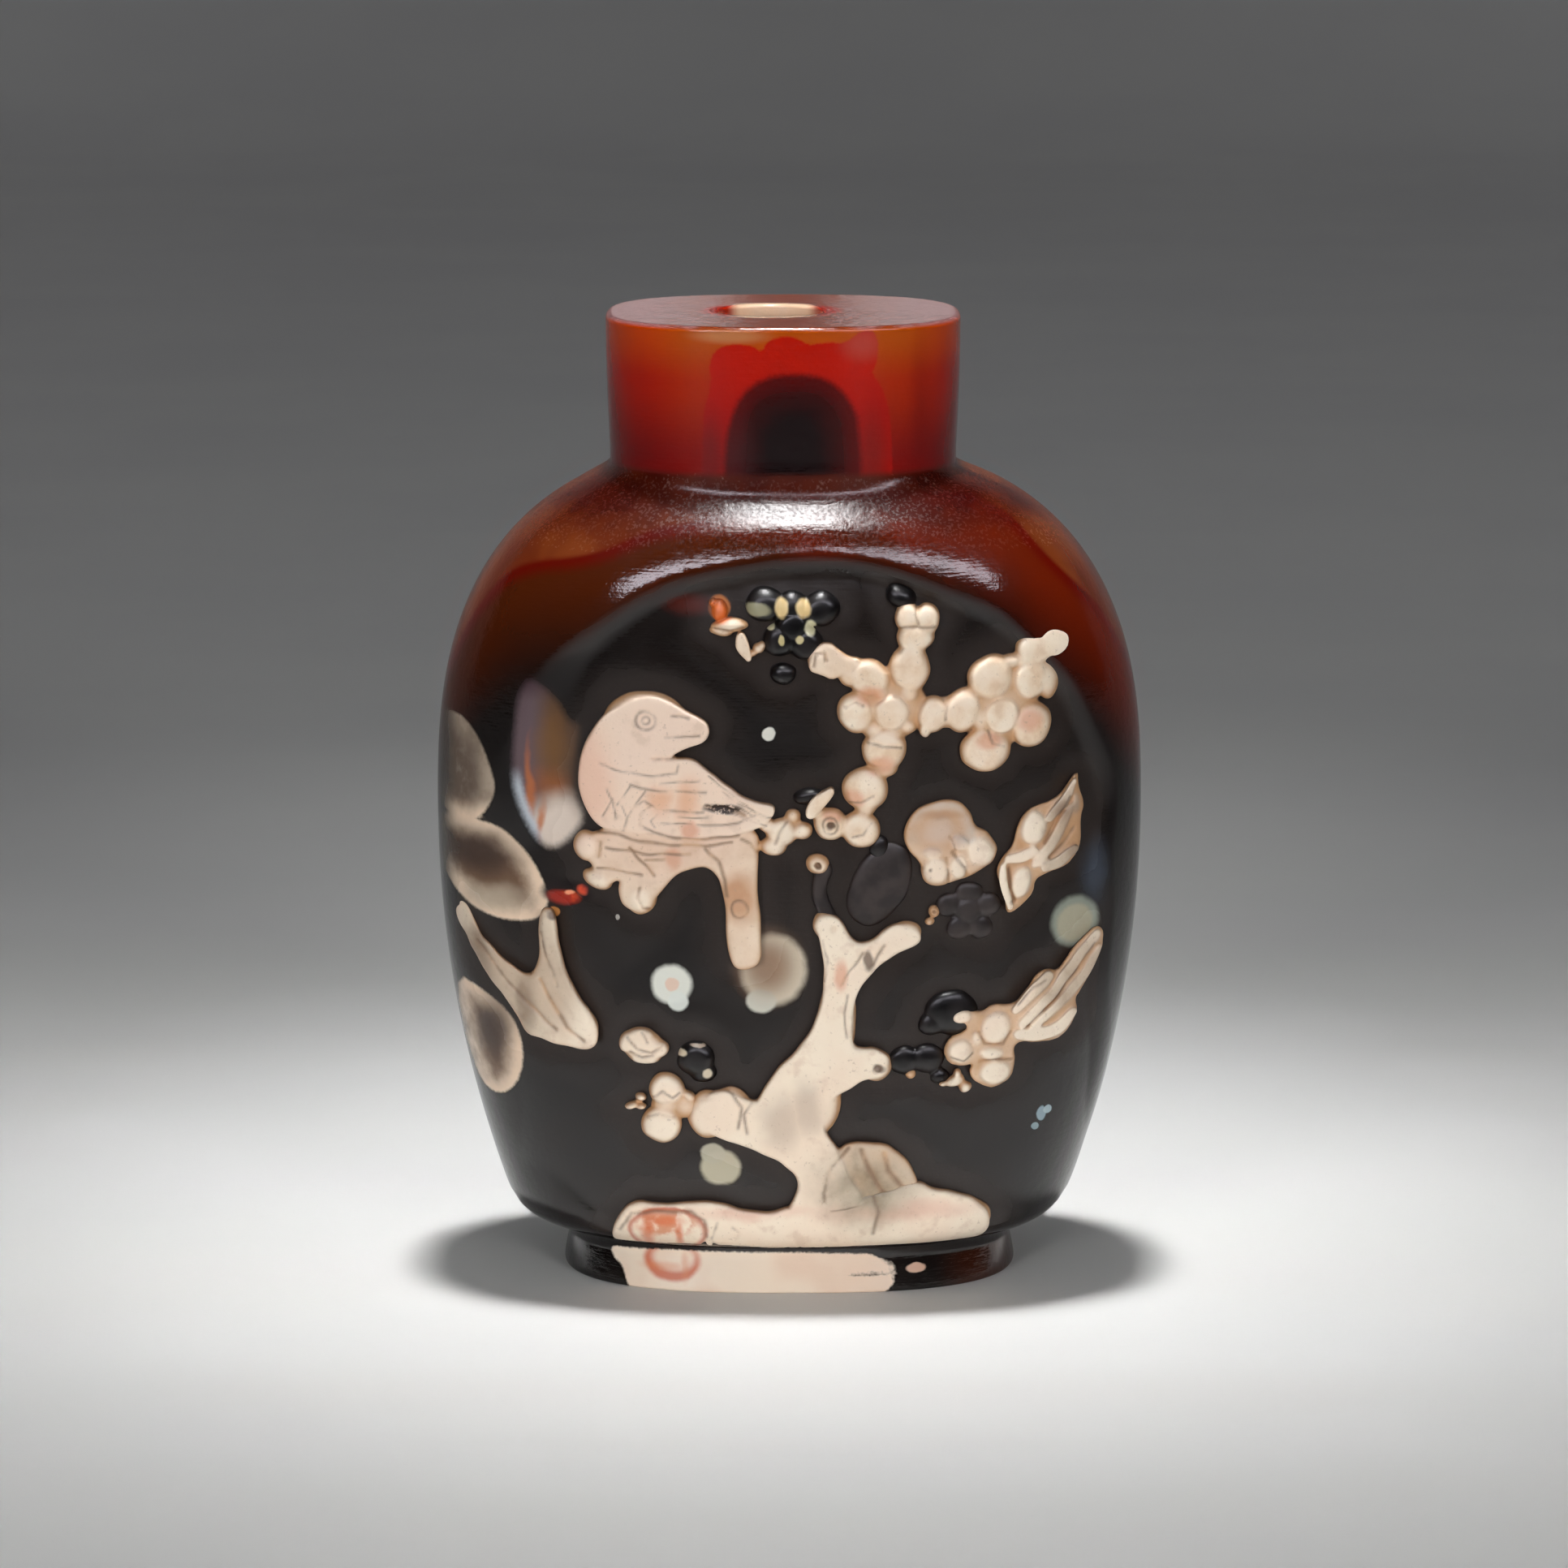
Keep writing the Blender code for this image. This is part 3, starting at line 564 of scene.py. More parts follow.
# %% The right disc and its petals
DISC_GROUP = [
    (7.05, 29.6), (7.3, 30.7), (8.0, 31.5), (9.2, 31.95), (10.4, 31.85), (11.2, 31.2),
    (11.5, 30.2), (12.1, 29.9), (12.8, 29.2), (12.95, 28.5), (12.3, 27.6), (11.3, 27.0),
    (10.0, 26.65), (8.9, 26.45), (8.2, 26.9), (8.1, 28.1), (7.35, 28.7),
]
right_disc = carve("right_disc", [
    plate(DISC_GROUP, LOW_SKIN, 0.3, 2),
    petal(9.25, 30.05, 1.75, 1.5, high=0.75),
    petal(9.1, 27.55, 0.92, 0.85),
    petal(10.5, 27.7, 0.62, 0.8),
    petal(11.8, 28.6, 0.95, 1.0, turn=20),
    petal(10.6, 29.2, 0.7, 0.5, turn=-20),
    petal(8.9, 28.6, 0.7, 0.4, high=1.0),
], [
    (0.1, 0.12, [(9.75, 28.3), (9.85, 27.4), (9.8, 26.6)]),
    (0.1, 0.14, [(10.1, 28.7), (10.4, 28.2), (10.9, 27.7), (11.1, 27.1)]),
    (0.08, 0.1, [(9.9, 29.6), (10.2, 29.2), (10.3, 28.8)]),
    (0.07, 0.12, ring(8.75, 27.6, 0.06, 5)),
])

# %% [markdown]
# The leaves are folded. Long ridges and brown valleys run along them, so they are built from
# overlapping twigs and petals instead of a flat plate.

# %% The leaf
LEAF = [
    (17.95, 33.2), (18.15, 32.0), (18.45, 31.0), (18.2, 30.3), (18.25, 28.6), (17.8, 27.5),
    (16.9, 27.05), (15.9, 26.85), (15.35, 26.6), (15.2, 25.7), (14.6, 25.0), (13.9, 24.55),
    (13.5, 24.6), (13.4, 25.4), (13.05, 26.6), (12.9, 27.5), (13.2, 28.05), (13.9, 28.8),
    (14.2, 30.2), (14.8, 31.05), (15.5, 31.25), (16.3, 31.35), (17.2, 32.2),
]
leaf = carve("leaf", [
    plate(LEAF, 0.5, 0.2, 1),
    petal(15.2, 29.85, 0.85, 1.15, turn=-10),
    twig((16.2, 30.4, 0.25), (17.1, 31.4, 0.35), (17.8, 32.6, 0.15), high=1.0),
    twig((15.3, 27.6, 0.3), (16.2, 28.5, 0.4), (17.0, 29.9, 0.35), (17.6, 31.0, 0.2), high=0.8),
    twig((15.9, 27.3, 0.25), (16.9, 27.6, 0.4), (17.8, 28.3, 0.3), high=1.0),
    petal(14.45, 26.5, 0.68, 1.1, turn=-12),
    twig((13.3, 27.6, 0.2), (13.3, 26.3, 0.25), (13.75, 25.0, 0.2), high=1.0),
    twig((13.6, 28.0, 0.25), (14.4, 28.1, 0.35), (15.2, 28.4, 0.3), high=0.85),
    petal(17.9, 31.2, 0.3, 0.9, high=0.8),
], [
    (0.1, 0.2, [(13.65, 27.4), (13.7, 26.2), (14.0, 25.3)]),
    (0.1, 0.16, [(15.9, 28.9), (16.6, 30.2), (17.5, 31.7)]),
    (0.09, 0.14, [(16.2, 27.9), (17.1, 28.7), (17.8, 29.6)]),
    (0.08, 0.12, ring(13.85, 25.3, 0.08, 6)),
])

# %% The lower right spray
LOWER_SPRAY = [
    (10.1, 18.4), (10.8, 18.65), (11.4, 18.35), (12.0, 18.3), (12.7, 18.8), (13.6, 18.6),
    (14.3, 18.85), (14.9, 19.4), (15.4, 20.4), (16.2, 20.75), (16.8, 20.4), (17.3, 21.3),
    (18.4, 22.4), (19.3, 23.0), (19.95, 22.6), (19.8, 21.5), (19.1, 20.2), (18.3, 18.9),
    (17.9, 18.5), (18.15, 17.6), (17.7, 16.6), (16.6, 15.9), (15.4, 16.0), (14.5, 16.2),
    (13.95, 15.8), (14.2, 14.9), (14.0, 13.9), (12.9, 13.25), (11.8, 13.6), (11.2, 14.4),
    (11.5, 15.0), (10.9, 14.85), (9.9, 15.05), (9.55, 15.9), (10.0, 16.8), (11.0, 17.15),
    (11.1, 17.5), (10.3, 17.6),
]
lower_spray = carve("lower_spray", [
    plate(LOWER_SPRAY, 0.55, 0.22, 1),
    petal(10.75, 18.1, 0.6, 0.45),
    petal(12.9, 17.25, 1.0, 1.1),
    petal(10.65, 15.9, 0.85, 0.8),
    petal(12.9, 14.35, 1.05, 0.85),
    petal(12.6, 15.6, 0.9, 0.5, high=1.0),
    petal(11.7, 16.6, 0.4, 0.5, high=0.9),
    twig((14.1, 18.3, 0.25), (15.2, 19.3, 0.4), (16.2, 20.3, 0.35), high=1.0),
    twig((14.6, 17.4, 0.3), (16.4, 19.0, 0.3), (18.0, 21.1, 0.4), (19.3, 22.5, 0.3), high=0.95),
    twig((15.3, 17.1, 0.25), (17.0, 18.4, 0.3), (18.6, 20.1, 0.35), (19.5, 21.6, 0.2), high=0.9),
    twig((14.4, 16.7, 0.35), (15.8, 16.5, 0.4), (17.1, 16.9, 0.45), (17.8, 17.7, 0.3), high=1.0),
    petal(10.3, 13.9, 0.6, 0.32, turn=15, high=1.0),
    petal(11.0, 13.45, 0.4, 0.35, high=0.9),
    petal(10.5, 14.35, 0.22, 0.3, high=0.9),
    petal(9.6, 13.75, 0.25, 0.2, high=0.8),
], [
    (0.09, 0.14, [(14.9, 17.2), (16.6, 18.7), (18.3, 20.8), (19.2, 22.0)]),
    (0.08, 0.1, [(10.1, 15.5), (10.9, 15.3), (11.4, 15.7)]),
    (0.08, 0.12, [(11.9, 15.1), (12.9, 15.25), (13.9, 15.1)]),
    (0.08, 0.1, [(11.9, 17.0), (12.2, 16.3), (13.4, 16.1), (13.9, 16.9)]),
    (0.08, 0.12, [(14.3, 18.7), (15.3, 19.7), (16.0, 20.1)]),
])

# %% The lower left blossoms, and small bits of skin
left_blossoms = carve("left_blossoms", [
    petal(-7.67, 13.5, 1.05, 1.0),
    petal(-8.0, 11.2, 1.2, 1.12),
    petal(-6.5, 12.4, 0.85, 0.75, high=0.7),
    petal(-7.7, 12.4, 0.9, 0.6, high=0.7),
    petal(-9.3, 12.9, 0.35, 0.22, high=0.9),
    petal(-9.9, 12.35, 0.4, 0.2, turn=25, high=0.9),
    petal(-9.3, 12.3, 0.3, 0.2, high=0.8),
    petal(-6.3, 13.1, 0.5, 0.3, turn=-30, high=0.8),
], [
    (0.09, 0.12, [(-8.5, 13.1), (-7.9, 13.5), (-7.3, 13.0), (-6.9, 13.4)]),
    (0.09, 0.1, [(-8.9, 11.7), (-8.1, 12.0), (-7.2, 11.8)]),
])
single_bud = carve("single_bud", [
    petal(-9.1, 16.2, 1.2, 1.0, high=1.0),
    petal(-10.1, 16.5, 0.5, 0.7, turn=-20),
    petal(-8.1, 16.1, 0.55, 0.5, turn=30),
    petal(-9.3, 17.0, 0.8, 0.4),
    petal(-9.0, 15.5, 0.9, 0.4),
], [
    (0.1, 0.16, [(-10.1, 16.9), (-9.5, 16.1), (-8.6, 15.9), (-7.9, 16.4)]),
    (0.09, 0.12, [(-9.9, 15.9), (-9.2, 15.6), (-8.5, 15.7)]),
    (0.08, 0.12, [(-9.2, 17.2), (-8.9, 16.6)]),
])
bits = carve("bits", [
    petal(1.75, 27.95, 0.68, 0.62, high=0.8),
    petal(8.95, 24.85, 0.34, 0.36, high=0.6),
    petal(8.7, 24.2, 0.28, 0.26, high=0.6),
    petal(7.6, 14.45, 0.32, 0.28, high=0.5),
    petal(8.65, 14.8, 0.27, 0.22, high=0.5),
    petal(-4.3, 43.8, 0.45, 0.6, high=0.6),
    petal(-4.7, 44.3, 0.25, 0.25, high=0.5),
    petal(-3.7, 42.9, 1.1, 0.42, turn=4, high=0.8),
    petal(-4.2, 42.6, 0.7, 0.35, high=0.7),
    twig((-3.0, 42.2, 0.3), (-2.9, 41.6, 0.42), (-2.5, 40.9, 0.2), high=0.7),
    petal(-1.9, 41.5, 0.36, 0.32, high=0.7),
    petal(-1.7, 41.7, 0.25, 0.25, high=0.7),
    petal(-2.2, 41.2, 0.25, 0.2, high=0.6),
    petal(-1.2, 29.0, 0.3, 0.3, high=0.8),
], [
    (0.13, 0.3, ring(1.75, 27.95, 0.1, 6)),
    (0.08, 0.2, ring(8.95, 24.85, 0.05, 5)),
    (0.09, 0.1, [(-4.6, 42.75), (-3.7, 42.6), (-2.9, 42.8)]),
], fine=0.06)

# %% [markdown]
# ## The crest at the left and the black buds
# A thin V-shaped rock stands at the left edge, where the skin has smoky layers. The carver also
# left some buds in the dark stone itself. They are lower than the skin and are polished black.

# %% Crest and black buds
crest = carve("crest", [
    plate(CREST, 0.8, 0.3),
    twig((-20.7, 23.6, 0.5), (-19.0, 20.9, 0.6), (-17.2, 18.6, 0.6),
        (-15.6, 17.0, 0.5), high=0.9),
    petal(-13.0, 17.2, 1.0, 1.1, turn=20, high=1.0),
    twig((-15.1, 24.0, 0.45), (-14.9, 22.2, 0.5), (-14.4, 20.2, 0.5),
        (-13.0, 17.9, 0.5), high=0.95),
], [
    (0.13, 0.2, [(-15.6, 20.2), (-14.9, 18.8), (-13.9, 17.2), (-12.9, 16.4)]),
    (0.12, 0.16, [(-19.6, 22.1), (-17.9, 20.0), (-16.2, 18.4), (-14.6, 17.0)]),
    (0.1, 0.12, [(-15.5, 23.2), (-15.2, 21.6), (-14.5, 19.9)]),
])
black_buds = carve("black_buds", [
    petal(-1.5, 44.2, 1.1, 1.0, high=0.85),
    petal(1.9, 43.9, 1.1, 1.0, high=0.85),
    petal(-0.6, 42.0, 1.0, 0.95, high=0.85),
    petal(0.95, 41.8, 1.0, 0.95, high=0.85),
    petal(0.2, 42.9, 1.0, 0.9, high=0.95),
    petal(0.2, 44.1, 1.0, 0.8, high=0.8),
    petal(-0.4, 39.9, 0.75, 0.65, high=0.7),
    petal(-5.85, 15.45, 1.1, 1.05, high=0.9),
    petal(-5.4, 14.6, 0.8, 0.6, high=0.6),
    petal(10.1, 18.3, 1.5, 1.35, high=0.75),
    petal(8.9, 17.6, 0.8, 0.7, high=0.6),
    petal(7.2, 15.3, 0.95, 0.85, high=0.6),
    petal(8.6, 15.4, 1.0, 0.9, high=0.65),
    petal(9.4, 14.2, 0.6, 0.5, high=0.5),
    petal(6.9, 44.6, 0.9, 0.7, turn=-30, high=0.75),
    petal(17.0, 40.2, 0.6, 0.9, high=0.6),
    petal(1.2, 32.2, 0.9, 0.5, high=0.6),
    petal(5.5, 29.0, 0.6, 0.7, high=0.5),
], fine=0.09, top=0.85, uneven=0.02)
low_buds = carve("low_buds", [
    petal(5.6, 26.6, 1.6, 2.6, turn=-28, high=0.5),
    twig((2.1, 27.6, 0.6), (1.8, 26.6, 0.45), (2.0, 25.4, 0.5), (2.4, 24.7, 0.5), high=0.4),
    petal(11.2, 24.8, 0.85, 0.8, high=0.5),
    petal(9.9, 25.2, 0.75, 0.7, high=0.42),
    petal(12.4, 25.1, 0.75, 0.7, high=0.42),
    petal(10.6, 23.7, 0.75, 0.7, high=0.42),
    petal(11.9, 23.7, 0.7, 0.7, high=0.42),
    petal(11.2, 26.0, 0.8, 0.6, high=0.4),
], fine=0.1, top=0.5, uneven=0.01)
skin_figures = [
    bird,
    tree,
    rocks,
    upper_spray,
    right_disc,
    leaf,
    lower_spray,
    left_blossoms,
    single_bud,
    bits,
    crest,
]
stone_figures = [black_buds, low_buds]

# %% [markdown]
# ## The body of the bottle
# The body is one closed surface. It starts under the foot, goes up the outside, over the lip, down
# the bore and round the inside. A flat grid is added and rolled up: its columns go round the bottle
# and its rows follow a list of sections. More columns lie on the front, where the carving is.

# %% Sections from under the foot, over the lip and down to the cavity floor
PANEL_MIDDLE = (0.8, 30.0)
PANEL_HALF_WIDTH = 19.6
PANEL_RISE = 17.2
PANEL_BOTTOM = 3.2
BEVEL = 1.25
GROUND_DEPTH = 0.9


def blended(a, b):
    """The larger of two sizes, with a fillet where they are nearly equal."""
    near = np.maximum(FILLET - np.abs(a - b), 0) / FILLET
    return np.maximum(a, b) + near**2 * FILLET / 4


def outside_section(z):
    """Middle, half width, half depth and power of the outside at a height."""
    if z > WIDEST:
        edge = clamp(1 - (HEIGHT - z) / LIP_ROUND)
        draw_in = 0.24 * clamp((HEIGHT - z) / 8.4) ** 2 + LIP_ROUND * (1 - (1 - edge**2) ** 0.5)
        neck = clamp((z - SHOULDER_END + 2 * FILLET) / FILLET)
        half_width = blended(body_half_width(z), NECK_HALF_WIDTH - draw_in)
        half_depth = blended(body_half_depth(z), NECK_HALF_DEPTH - draw_in)
        return NECK_SHIFT * neck, half_width, half_depth, 2.5 + 0.1 * neck
    edge = clamp(1 - z / 0.2)
    draw_in = 0.4 * clamp(z / FOOT_TOP) + 0.2 * (1 - (1 - edge**2) ** 0.5)
    foot = clamp(1 - (z - FOOT_TOP) / FILLET)
    half_width = np.maximum(body_half_width(z), FOOT_HALF_WIDTH - draw_in)
    half_depth = np.maximum(body_half_depth(z), FOOT_HALF_DEPTH - draw_in)
    return 0.0, half_width, half_depth, 2.5 + 0.2 * foot


def inside_section(z):
    straight = MOUTH_START - CLOSING
    base = min(z, straight)
    up = clamp((z - straight) / CLOSING)
    closed = (1 - up**2) ** 0.5
    half_width = MOUTH_RADIUS + (body_half_width(base) - WALL - MOUTH_RADIUS) * closed
    half_depth = MOUTH_RADIUS + (body_half_depth(base) - WALL - MOUTH_RADIUS) * closed
    return MOUTH_SHIFT * up, half_width, half_depth, 2 + 0.5 * closed


FOOT_POWER = 2.7
sections = []
for share, z in ((0.0, 0.8), (0.3, 0.8), (0.6, 0.8), (0.85, 0.8), (0.95, 0.76), (0.99, 0.66)):
    sections.append((z, 0.0, 11.6 * share, 8.1 * share, FOOT_POWER))
foot_rim = [(0.3, 12.0, 8.5), (0.06, 12.24, 8.74), (0.0, 12.5, 9.0), (0.0, 13.4, 9.9)]
sections += [(z, 0.0, half_width, half_depth, FOOT_POWER) for z, half_width, half_depth in foot_rim]
outside_start = len(sections)
corner = []
for share in np.linspace(0.826, 0.996, 14):
    corner.append(FOOT_TOP + (WIDEST - FOOT_TOP) * (1 - (1 - share**2) ** (1 / CORNER_POWER)))
outside_heights = [0.0, 0.03, 0.08, 0.14, 0.2, 0.6, 1.1, 1.6, 2.0, FOOT_TOP + 0.001] + corner
outside_heights += list(np.linspace(corner[-1], 48.0, 142)[1:])
outside_heights += list(np.linspace(48.0, 52.4, 22)[1:])
outside_heights += list(np.linspace(52.6, 60.6, 24))
outside_heights += [HEIGHT - LIP_ROUND * drop for drop in (1, 0.7, 0.45, 0.25, 0.1, 0.02, 0)]
sections += [(z, *outside_section(z)) for z in outside_heights]
for share in (0.97, 0.8, 0.6, 0.4, 0.2, 0.08, 0.03):
    half_width = MOUTH_RADIUS + share * (NECK_HALF_WIDTH - LIP_ROUND - MOUTH_RADIUS)
    half_depth = MOUTH_RADIUS + share * (NECK_HALF_DEPTH - LIP_ROUND - MOUTH_RADIUS)
    middle = MOUTH_SHIFT + share * (NECK_SHIFT - MOUTH_SHIFT)
    sections.append((HEIGHT, middle, half_width, half_depth, 2 + 0.6 * share))
sections += [(HEIGHT - 0.05, MOUTH_SHIFT, MOUTH_RADIUS + 0.06, MOUTH_RADIUS + 0.06, 2.0)]
inside_heights = [HEIGHT - 0.2] + list(np.linspace(59.5, MOUTH_START, 7))
for share in (0.2, 0.4, 0.6, 0.8, 0.92, 1):
    inside_heights.append(MOUTH_START - CLOSING * (1 - (1 - share**2) ** 0.5))
inside_heights += list(np.linspace(MOUTH_START - CLOSING, CAVITY_FLOOR, 14)[1:])
sections += [(z, *inside_section(z)) for z in inside_heights]
floor_width, floor_depth = inside_section(CAVITY_FLOOR)[1:3]
for share in (0.9, 0.5, 0.0):
    sections.append((CAVITY_FLOOR, 0.0, floor_width * share, floor_depth * share, 2.5))
print("The body has", len(sections), "rows of points")

# %% [markdown]
# On the front the ground is cut back inside an arched panel. Close to each figure it is cut a
# little deeper and rises again, as a wheel leaves it. That soft groove gives the dark ground its
# wavy polish.

# %% How deep the ground lies, and how near the figures are
def panel_inside(x, z):
    """How far a place on the front lies inside the panel, whose edge is straight low at the left."""
    across = np.abs(x - PANEL_MIDDLE[0]) / PANEL_HALF_WIDTH
    up = np.maximum(z - PANEL_MIDDLE[1], 0) / PANEL_RISE
    arch = (1 - np.hypot(across, up)) * PANEL_RISE
    left_low = smooth_step((-x - 9) / 2) * smooth_step((32 - z) / 6)
    arch = arch + ((x + 21.8) * 0.9 - arch) * left_low
    return np.minimum(arch, z - PANEL_BOTTOM) + 0.2 * wobble(x, z, 9.0)


walls = []
for figure in skin_figures + stone_figures:
    points = coordinates(figure)
    low = points[np.abs(points[:, 1] + 0.2) < 0.12]
    walls.append(low[::3][:, [0, 2]])
walls = np.concatenate(walls)
wall_tree = KDTree(len(walls))
for index, (x, z) in enumerate(walls):
    wall_tree.insert((x, 0, z), index)
wall_tree.balance()
print(len(walls), "points along the feet of the figures")


def ground(x, z, inside, nearest):
    """How far back the ground is cut from the old surface."""
    bevel = BEVEL + 3.0 * clamp((-x - 11) / 4) * clamp((41 - z) / 5)
    cut = GROUND_DEPTH * (0.8 * clamp(inside / bevel) + 0.2 * smooth_step(inside / bevel))
    groove = 0.05 * np.exp(-((nearest - 0.35) / 0.5) ** 2)
    ridge = 0.03 * np.exp(-((nearest - 1.6) / 0.7) ** 2)
    waves = 0.03 * wobble(x, z, 7.0) + 0.01 * wobble(z, x, 3.1)
    return cut + smooth_step(inside / 2.0) * (groove - ridge + waves)


# %% Roll the grid up into the bottle
FRONT_COLUMNS = 176
BACK_COLUMNS = 72
back_half = list(np.linspace(math.pi / 2, 0, BACK_COLUMNS // 2 + 1)[:-1])
front_half = list(np.linspace(0, -math.pi, FRONT_COLUMNS + 1)[:-1])
last_half = list(np.linspace(-math.pi, -1.5 * math.pi, BACK_COLUMNS // 2 + 1))
angles = np.array(back_half + front_half + last_half)
start_fresh()
columns = len(angles) - 1
bpy.ops.mesh.primitive_grid_add(x_subdivisions=columns, y_subdivisions=len(sections) - 1, size=2)
body = bpy.context.object
body.name = "bottle_body"
body.data.name = "bottle_body"
rows = np.array(sections, float)
middle, half_width, half_depth, power = [rows[:, k][:, None] for k in range(1, 5)]
cosine, sine = np.cos(angles)[None, :], np.sin(angles)[None, :]
x = middle + half_width * np.sign(cosine) * np.abs(cosine) ** (2 / power)
y = half_depth * np.sign(sine) * np.abs(sine) ** (2 / power)
z = np.repeat(rows[:, :1], len(angles), axis=1)
outside_rows = np.zeros(z.shape, bool)
outside_rows[outside_start : outside_start + len(outside_heights)] = True
nearest = np.full(z.shape, 9.0)
front = outside_rows & (y < 0)
inside = np.where(front, panel_inside(x, z), -9.0)
for i, j in zip(*np.nonzero(front & (inside > -1))):
    nearest[i, j] = wall_tree.find((x[i, j], 0, z[i, j]))[2]
cut = np.where(inside > 0, ground(x, z, inside, nearest), 0)
y = np.where(front, np.minimum(y + cut, 0), y)
move_points(body, np.stack([x, y, z], axis=-1).reshape(-1, 3) * MM)
print("Body grid:", len(angles), "columns by", len(sections), "rows")

# %% [markdown]
# The stone is banded, so its colours follow shapes: smoky patches at the left, a brown cap on the
# shoulders, a lobed red arch on the neck. Each shape is drawn once as an outline, and every point
# of the body keeps how far it lies inside. The material turns those distances into crisp or soft
# edges.

# %% Coloured regions of the stone
SMOKY = [
    [
        (-22.6, 36.0), (-21.3, 36.4), (-20.3, 36.2), (-19.3, 35.0), (-18.6, 33.2), (-18.3, 32.0),
        (-18.9, 30.6), (-19.8, 29.7), (-21.0, 29.6), (-22.6, 30.5),
    ],
    [
        (-22.6, 29.5), (-20.5, 30.0), (-18.3, 29.8), (-17.0, 28.8), (-15.9, 27.5), (-15.15, 26.0),
        (-15.0, 25.0), (-15.6, 23.9), (-17.0, 23.6), (-18.6, 23.7), (-20.2, 24.3), (-21.5, 25.5),
        (-22.6, 27.0),
    ],
    [
        (-21.0, 19.4), (-19.4, 18.9), (-17.6, 17.6), (-16.9, 16.2), (-16.7, 14.5), (-17.2, 12.8),
        (-18.3, 11.8), (-19.6, 12.2), (-20.5, 14.2), (-21.2, 16.5),
    ],
]
FLAME = [
    (-16.3, 39.4), (-15.2, 38.9), (-14.2, 37.8), (-13.6, 36.6), (-12.9, 36.5), (-13.1, 34.0),
    (-13.2, 32.0), (-12.6, 30.6), (-13.4, 29.4), (-14.4, 28.5), (-15.4, 28.5), (-16.4, 29.8),
    (-17.2, 31.8), (-17.4, 33.6), (-17.2, 36.0), (-17.0, 38.0),
]
ARCH = [
    (-5.6, 47.5), (-5.4, 55.4), (-4.8, 57.5), (-5.0, 58.7), (-4.5, 59.7), (-3.4, 60.0),
    (-2.1, 59.85), (-1.76, 59.4), (-1.35, 60.2), (-0.4, 60.5), (0.5, 60.4), (1.06, 59.9),
    (2.3, 60.1), (3.5, 60.0), (4.4, 60.8), (5.3, 60.7), (5.5, 59.7), (5.35, 58.6), (5.0, 58.2),
    (5.8, 57.1), (6.3, 55.2), (6.5, 47.5),
]
DARK_ARCH = [
    (-4.0, 47.5), (-3.9, 53.4), (-3.6, 55.2), (-2.9, 56.8), (-1.6, 57.8), (0.3, 58.1),
    (2.3, 57.8), (3.6, 56.6), (4.3, 54.9), (4.45, 47.5),
]
CORE = [
    (-2.1, 47.5), (-1.95, 54.6), (-1.2, 55.6), (0.4, 56.1), (1.8, 55.7), (2.3, 54.2),
    (2.35, 47.5),
]
FOOT_SKIN = [
    (-11.4, 2.6), (-11.2, 1.7), (-10.6, 1.35), (-10.4, 0.6), (-9.9, -0.6), (5.3, -0.6),
    (6.4, 0.3), (6.9, 1.0), (6.4, 1.2), (5.4, 1.05), (3.4, 1.15), (3.3, 1.4), (5.6, 1.4),
    (6.8, 1.6), (6.6, 1.85), (5.9, 2.0), (4.8, 2.6),
]
BROWN_EDGE_X = [
    -22.4, -21.5, -20.1, -18.8, -17.5, -15.5, -13.6, -11.3, -9.7, -8.2, -5.9, -4.1, 0.0, 6.0,
    11.2, 13.8, 15.6, 17.5, 19.2, 20.5, 21.6, 22.4,
]
BROWN_EDGE_Z = [
    37.0, 38.9, 42.1, 43.9, 45.4, 46.3, 46.6, 47.2, 48.0, 48.6, 49.0, 49.7, 50.4, 50.8, 50.3,
    49.0, 46.9, 45.0, 43.3, 41.2, 39.0, 37.0,
]
BACK_EDGE_X = [-22.4, -20.0, -15.5, -9.0, -2.0, 5.0, 12.0, 17.0, 20.5, 22.4]
BACK_EDGE_Z = [37.0, 40.6, 44.4, 46.6, 47.7, 47.2, 45.8, 43.0, 39.8, 37.0]


def keep_on_front(values):
    return np.where(front, values, -9.0)


def rounded_edge(x, edge_x, edge_z, reach):
    """The height of an edge, averaged over a short reach so that it has no corners."""
    shifts = np.linspace(-reach, reach, 9)
    return sum(np.interp(x + shift, edge_x, edge_z) for shift in shifts) / len(shifts)


front_edge = rounded_edge(x, BROWN_EDGE_X, BROWN_EDGE_Z, 0.8)
back_edge = rounded_edge(x, BACK_EDGE_X, BACK_EDGE_Z, 3.0) + 0.4 * wobble(x, z, 13.0)
to_back = smooth_step((y + 2.0) / 8.0)
edge_z = front_edge + (back_edge - front_edge) * to_back
regions = {
    "near": nearest,
    "panel": inside,
    "smoky": keep_on_front(np.maximum.reduce([depth_inside(outline, x, z) for outline in SMOKY])),
    "flame_patch": keep_on_front(depth_inside(FLAME, x, z)),
    "brown": np.where(outside_rows, z - edge_z, 3.0),
    "arch": keep_on_front(depth_inside(ARCH, x, z)),
    "dark_arch": keep_on_front(depth_inside(DARK_ARCH, x, z)),
    "core": keep_on_front(depth_inside(CORE, x, z)),
    "foot_skin": keep_on_front(depth_inside(FOOT_SKIN, x, z)),
    "hollow": np.where(outside_rows, 0.0, 1.0),
}
for name, values in regions.items():
    store(body, name, values.ravel())
start_fresh()
body.select_set(True)
bpy.context.view_layer.objects.active = body
bpy.ops.object.mode_set(mode="EDIT")
bpy.ops.mesh.select_all(action="SELECT")
bpy.ops.mesh.remove_doubles(threshold=2e-6)
bpy.ops.mesh.normals_make_consistent(inside=False)
bpy.ops.object.mode_set(mode="OBJECT")
bpy.ops.object.shade_smooth()
print("Body has", len(body.data.polygons) * 2, "triangles at most")

